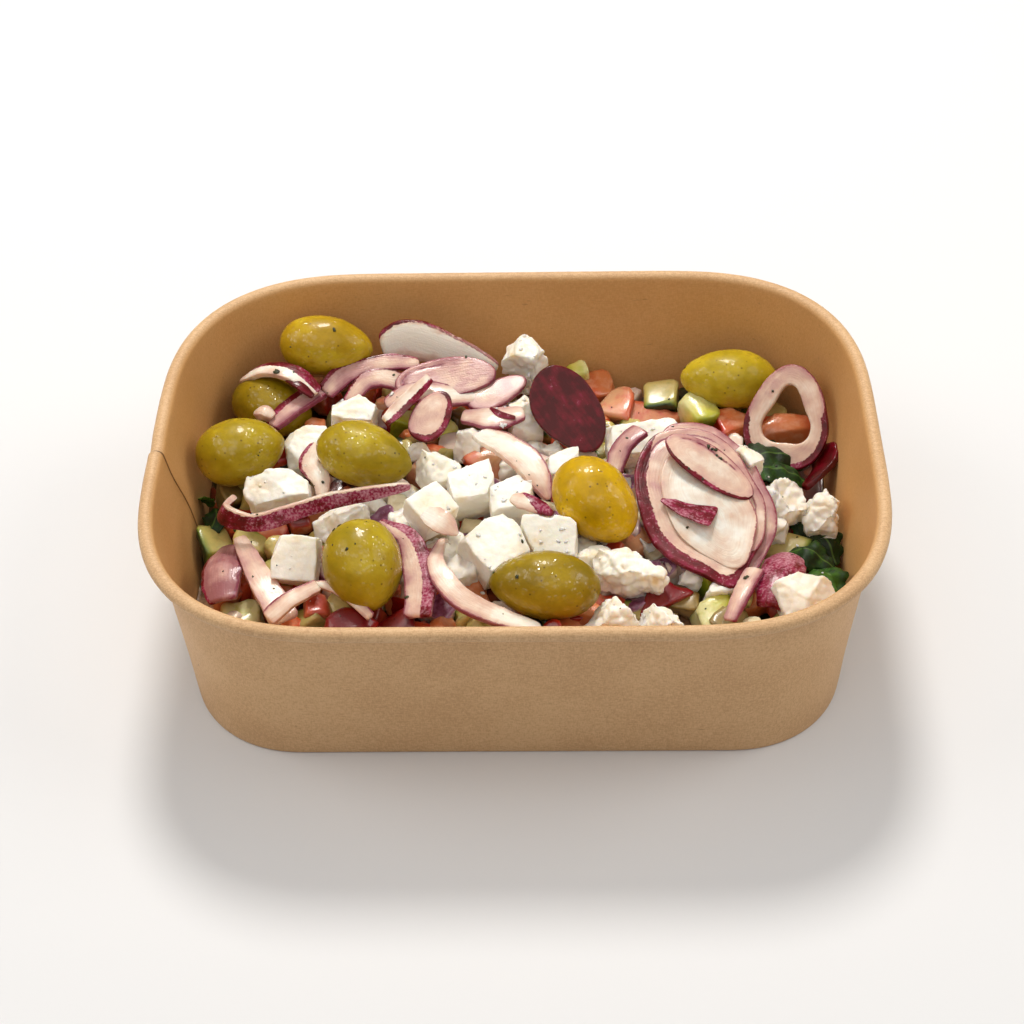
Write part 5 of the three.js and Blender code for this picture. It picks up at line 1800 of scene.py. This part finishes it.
def leaf_material():
    material, tree = new_material("herb_leaf")
    spot = add(tree, "TexCoord").outputs["Object"]
    bright = add(tree, "Attribute", attribute_name="bright").outputs["Fac"]
    side = add(tree, "Attribute", attribute_name="side").outputs["Fac"]
    mottle = add(tree, "TexNoise", {"Vector": spot, "Scale": scale_of(LEAF["mottle"]), "Detail": 4})
    share = add(tree, "Math", {0: mottle.outputs["Fac"], 1: bright}, operation="ADD")
    green = add(tree, "ValToRGB", {"Fac": share.outputs[0]}, stops=[
        (0.4, LEAF["dark"]), (0.7, LEAF["green"]), (1.0, LEAF["bright"]),
    ])
    from_rib = add(tree, "Math", {0: side}, operation="ABSOLUTE")
    rib_edge, rib_middle = LEAF["rib_edges"]
    rib = add(tree, "MapRange", {
        "Value": from_rib.outputs[0], "From Min": rib_edge, "From Max": rib_middle, "To Max": 0.6,
    })
    ribbed = add(tree, "Mix", {
        0: rib.outputs[0], MIX_A: green.outputs[0], MIX_B: colour(LEAF["rib"]),
    }, data_type="RGBA")
    veins = add(tree, "TexNoise", {"Vector": spot, "Scale": scale_of(LEAF["vein"]), "Detail": 2})
    bump = add(tree, "Bump", {
        "Height": veins.outputs["Fac"], "Strength": 0.5, "Distance": LEAF["relief"] * MM,
    })
    return finish_material(material, {
        "Base Color": ribbed.outputs[MIX_RESULT], "Roughness": 0.5, "Normal": bump.outputs[0],
        "Specular IOR Level": 0.3,
    })


def leaf_rings(path, width, bright, seed):
    """The cross-sections of a leaf, with each point's distance from the midrib in mm."""
    points = [Vector(point) for point in path]
    rings = []
    for step in range(LEAF["steps"] + 1):
        share = step / LEAF["steps"]
        middle, heading = path_at(points, share)
        across = Vector((0, 0, 1)).cross(heading).normalized()
        normal = heading.normalized().cross(across)
        half = width / 2 * (LEAF["blunt"] + math.sin(math.pi * share)) / (1 + LEAF["blunt"])
        ring = []
        for face in (1, -1):
            for i in range(LEAF["across"]):
                side = face * lerp(1, -1, i / (LEAF["across"] - 1))
                edge = middle + across * side * half
                torn = 1 + layered_wobble(edge * MM, [LEAF["torn"]], seed)
                spot = middle + across * side * half * torn
                crumple = layered_wobble(spot * MM, [LEAF["crumple"]], seed + 1)
                crumple -= LEAF["droop"] * abs(side) * half
                spot += normal * (crumple + face * LEAF["half_thickness"])
                ring.append((place(*spot), side * half, bright))
        rings.append(ring)
    return rings


def build_leaves(material):
    """Each leaf is a piece of its own, numbered from 1."""
    for i, (path, width, bright) in enumerate(LEAVES):
        bm = sweep(leaf_rings(path, width, bright, i), marks=["side", "bright"])
        finish_piece(bm, f"herb_leaf_{i + 1}", material)


leaf_look = leaf_material()
build_leaves(leaf_look)
print("herb leaves:", len(LEAVES))

# %% [markdown]
# ## Crumbs and dried herbs
# The last things to fall on a salad are crumbs of feta and a pinch of dried oregano and
# pepper. Each one is a small rough grain of 24 faces. A ray is sent down at a
# seeded random place, and the grain lies where the ray first meets the food.

# %% Where a grain comes to rest
FALLS_FROM = 80


def surface_trees():
    """A search tree for every finished piece that grains can land on."""
    depsgraph = bpy.context.evaluated_depsgraph_get()
    pieces = [piece for piece in bpy.context.scene.objects if piece.type == "MESH"]
    solids = set(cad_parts.values())
    return [
        (piece.name, BVHTree.FromObject(piece, depsgraph))
        for piece in pieces
        if piece not in solids and piece.name not in ("floor", "paper_bowl")
    ]


def landing(trees, x, y):
    """The highest point of the food at a place, the way it faces, and what it belongs to."""
    best = None
    for name, tree in trees:
        spot, normal, _, _ = tree.ray_cast(place(x, y, FALLS_FROM), Vector((0, 0, -1)))
        if spot and (best is None or spot.z > best[0].z):
            best = (spot, normal, name)
    return best


# %% Scattering grains
# Each kind: how many, sizes in mm, how flat, and whether it lands on or near feta only.
GRAINS = {
    "feta_crumbs": {"count": 180, "size": (0.3, 1.2), "flat": 0.5, "only_near_feta": True},
    "herb_flakes": {"count": 70, "size": (0.3, 0.8), "flat": 0.4, "only_near_feta": False},
    "pepper_specks": {"count": 45, "size": (0.2, 0.4), "flat": 0.8, "only_near_feta": False},
}
# Where grains fall, in mm, and how upright the face that they lie on has to be at least.
FALL = {"half_length": 78, "half_width": 55, "wall_gap": 2, "upright": 0.35, "first_seed": 5}
# How far from feta crumbs still land, in mm, and which share of them stays there.
NEAR_FETA = {"reach": 3, "share": 0.4}
# How far a grain's points lie inside or outside a ball, how much longer than wide it is, and
# how far it stands out of the food.
ROUGH = {"in": 0.25, "out": 0.15, "longest": 1.6, "proud": 0.2}
SPECK = {"black": "0c0a06", "oregano": "3c4418", "pepper": "2e2014", "fleck": 0.4}
# Where bits of oregano that show lie, and how long they are in mm.
PLACED_FLAKES = (
    (46.4, 6.6, 0.9), (47.3, 5.9, 0.8), (48.1, 5.7, 1), (48.3, 4.4, 0.8), (49.2, 3.7, 0.9), (41.4, 0.3, 0.5),
    (44.6, -2.3, 0.6), (53.5, -28.2, 1.3), (-46.2, 45.1, 1), (-60.8, 36.4, 1.4), (0.8, -36.7, 0.9),
    (0.5, -40.1, 0.9), (-41.5, -22.4, 1), (-40.4, -21.6, 0.8), (-24.5, -36.5, 0.9), (-31.3, 38.8, 0.7),
)


def grain(bm, spot, normal, size, flat, chance):
    """Adds one rough grain of 24 faces that lies on the food."""
    made = bmesh.ops.create_cube(bm, size=1)["verts"]
    first = len(bm.verts) - len(made)
    edges = {edge for vert in made for edge in vert.link_edges}
    bmesh.ops.subdivide_edges(bm, edges=list(edges), cuts=1, use_grid_fill=True)
    turned = normal.to_track_quat("Z", "Y") @ Quaternion((0, 0, 1), chance.uniform(0, 6))
    longer = chance.uniform(1, ROUGH["longest"])
    for vert in list(bm.verts)[first:]:
        vert.co = vert.co.normalized() * (0.5 + chance.uniform(-ROUGH["in"], ROUGH["out"]))
        vert.co = Vector((vert.co.x * longer, vert.co.y, vert.co.z * flat)) * size * MM
        vert.co.rotate(turned)
        vert.co += spot + normal * size * flat * ROUGH["proud"] * MM


def dark_speck_material(name, hex_value):
    """Dry, matt, and nearly black between its flecks."""
    material, tree = new_material(name)
    spot = add(tree, "TexCoord").outputs["Object"]
    fleck = add(tree, "TexNoise", {"Vector": spot, "Scale": scale_of(SPECK["fleck"]), "Detail": 2})
    tone = add(tree, "ValToRGB", {"Fac": fleck.outputs["Fac"]}, stops=[
        (0.35, SPECK["black"]), (0.65, hex_value),
    ])
    return finish_material(material, {"Base Color": tone.outputs[0], "Roughness": 0.5})


def scatter_grains():
    """One piece for each kind of grain, with all of its grains."""
    trees = surface_trees()
    looks = {
        "feta_crumbs": paste,
        "herb_flakes": dark_speck_material("dried_oregano", SPECK["oregano"]),
        "pepper_specks": dark_speck_material("ground_pepper", SPECK["pepper"]),
    }
    for seed, (name, kind) in enumerate(GRAINS.items()):
        chance = random.Random(seed + FALL["first_seed"])
        bm = bmesh.new()
        for x, y, size in PLACED_FLAKES if name == "herb_flakes" else ():
            spot, normal, _ = landing(trees, x, y)
            grain(bm, spot, normal, size, kind["flat"], chance)
        laid = 0
        while laid < kind["count"]:
            x = chance.uniform(-FALL["half_length"], FALL["half_length"])
            y = chance.uniform(-FALL["half_width"], FALL["half_width"])
            if not inside_bowl(x, y, FALL["wall_gap"]):
                continue
            best = landing(trees, x, y)
            if best is None or best[1].z < FALL["upright"]:
                continue
            if kind["only_near_feta"] and not takes_crumbs(best[2], x, y, chance):
                continue
            size = lerp(*kind["size"], chance.random() ** 2)
            grain(bm, best[0], best[1], size, kind["flat"], chance)
            laid += 1
        piece = finish_piece(bm, name, looks[name])
        print(name, len(piece.data.polygons), "faces")


def takes_crumbs(name, x, y, chance):
    """Whether a crumb stays here: it slides off the oily olives and onions."""
    if name.startswith("feta"):
        return True
    if name.startswith(("olive", "onion")):
        return False
    return near_feta(x, y) and chance.random() < NEAR_FETA["share"]


def near_feta(x, y):
    """Whether a lump of feta lies close to a place, to its side, below or above it."""
    for node in FETA_NODES:
        low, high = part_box(node)
        gap_x = max(low[0] / MM - x, x - high[0] / MM, 0)
        gap_y = max(low[1] / MM - y, y - high[1] / MM, 0)
        if math.hypot(gap_x, gap_y) < NEAR_FETA["reach"]:
            return True
    return False


scatter_grains()
